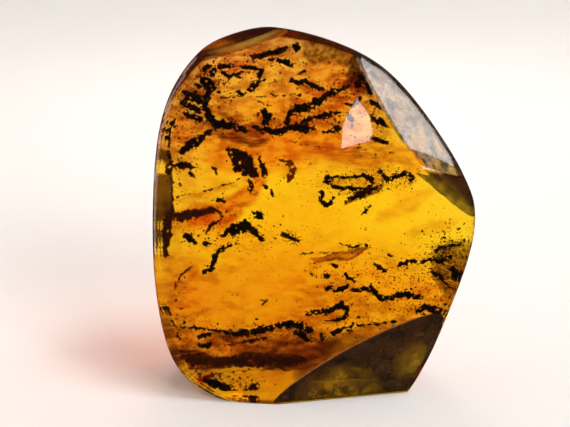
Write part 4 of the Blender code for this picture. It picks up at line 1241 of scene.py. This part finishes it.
key = lamp("key", 72, 60, 1.6, (0.55, 0.55), 17.1, (1.0, 0.985, 0.975))
key.visible_glossy = False
fill = lamp("fill", 40, 30, 1.3, (0.6, 0.6), 7.6, (1.0, 0.985, 0.975))
behind = lamp("behind", 180, 45, 0.30, (0.10, 0.10), 5.5, (1.0, 0.97, 0.92), (0.0, 0.05, 0.0))
warm = lamp("warm_patch", 110, 75, 0.050, (0.02, 0.02), 12.0, (1.0, 0.15, 0.01), (-0.042, 0.006, 0.0))
for glow in (fill, behind, warm):
    glow.visible_glossy = False
    glow.visible_transmission = False
card = lamp("left_card", -105, 12, 0.5, (0.40, 0.45), 2.2, (1.0, 0.86, 0.78))
card.visible_diffuse = False
card.visible_transmission = False
paper_only = bpy.data.collections.new("paper_only")
paper_only.objects.link(ground)
warm.light_linking.receiver_collection = paper_only

def window(name, corners, azimuth, elevation, distance, strength, color):
    """A bright window with an outline of its own, that faces the stone."""
    glass, tree, shader, output = blank(name)
    light = add(tree, "ShaderNodeEmission", {"Color": color, "Strength": strength})
    tree.links.new(light.outputs["Emission"], output.inputs["Surface"])
    bm = bmesh.new()
    bm.faces.new([bm.verts.new((x, y, 0.0)) for x, y in corners])
    mesh = bpy.data.meshes.new(name)
    bm.to_mesh(mesh)
    bm.free()
    mesh.materials.append(glass)
    made = bpy.data.objects.new(name, mesh)
    bpy.context.scene.collection.objects.link(made)
    made.visible_camera = False
    aim(made, azimuth, elevation, distance, (0.0, 0.0, 0.04))


# Both windows are cut off on a slant: the front one by its curtain, the side one by a tree outside.
window("front_window", (
    (0.009, 0.085), (0.042, 0.024), (0.048, -0.030), (0.036, -0.057), (-0.051, -0.0755), (-0.042, 0.0),
), 7.8, 20.0, 1.2, 7.5, (1.0, 0.93, 0.93, 1.0))
window("side_window", (
    (-0.11, 0.11), (-0.11, -0.11), (0.030, -0.090), (0.066, -0.020), (0.073, -0.037), (0.078, -0.050),
    (0.083, -0.071), (0.087, -0.064), (0.096, -0.038), (0.103, -0.009), (0.107, 0.021), (0.105, 0.045),
    (0.090, 0.11),
), 103, 25, 0.85, 5.6, (1.0, 0.95, 0.93, 1.0))

world = bpy.data.worlds.new("room")
bpy.context.scene.world = world
world.use_nodes = True
world.node_tree.nodes["Background"].inputs["Color"].default_value = (1.0, 0.98, 0.96, 1.0)
world.node_tree.nodes["Background"].inputs["Strength"].default_value = 0.03

camera = bpy.data.cameras.new("camera")
camera.lens = 85.0
camera.sensor_width = 36.0
eye = bpy.data.objects.new("camera", camera)
bpy.context.scene.collection.objects.link(eye)
eye.location = (-0.00631, -0.28110, 0.14170)
eye.rotation_euler = (math.radians(70.0), 0.0, 0.0)
bpy.context.scene.camera = eye
bpy.context.scene.view_settings.view_transform = "Standard"
bpy.context.scene.cycles.transparent_max_bounces = 64
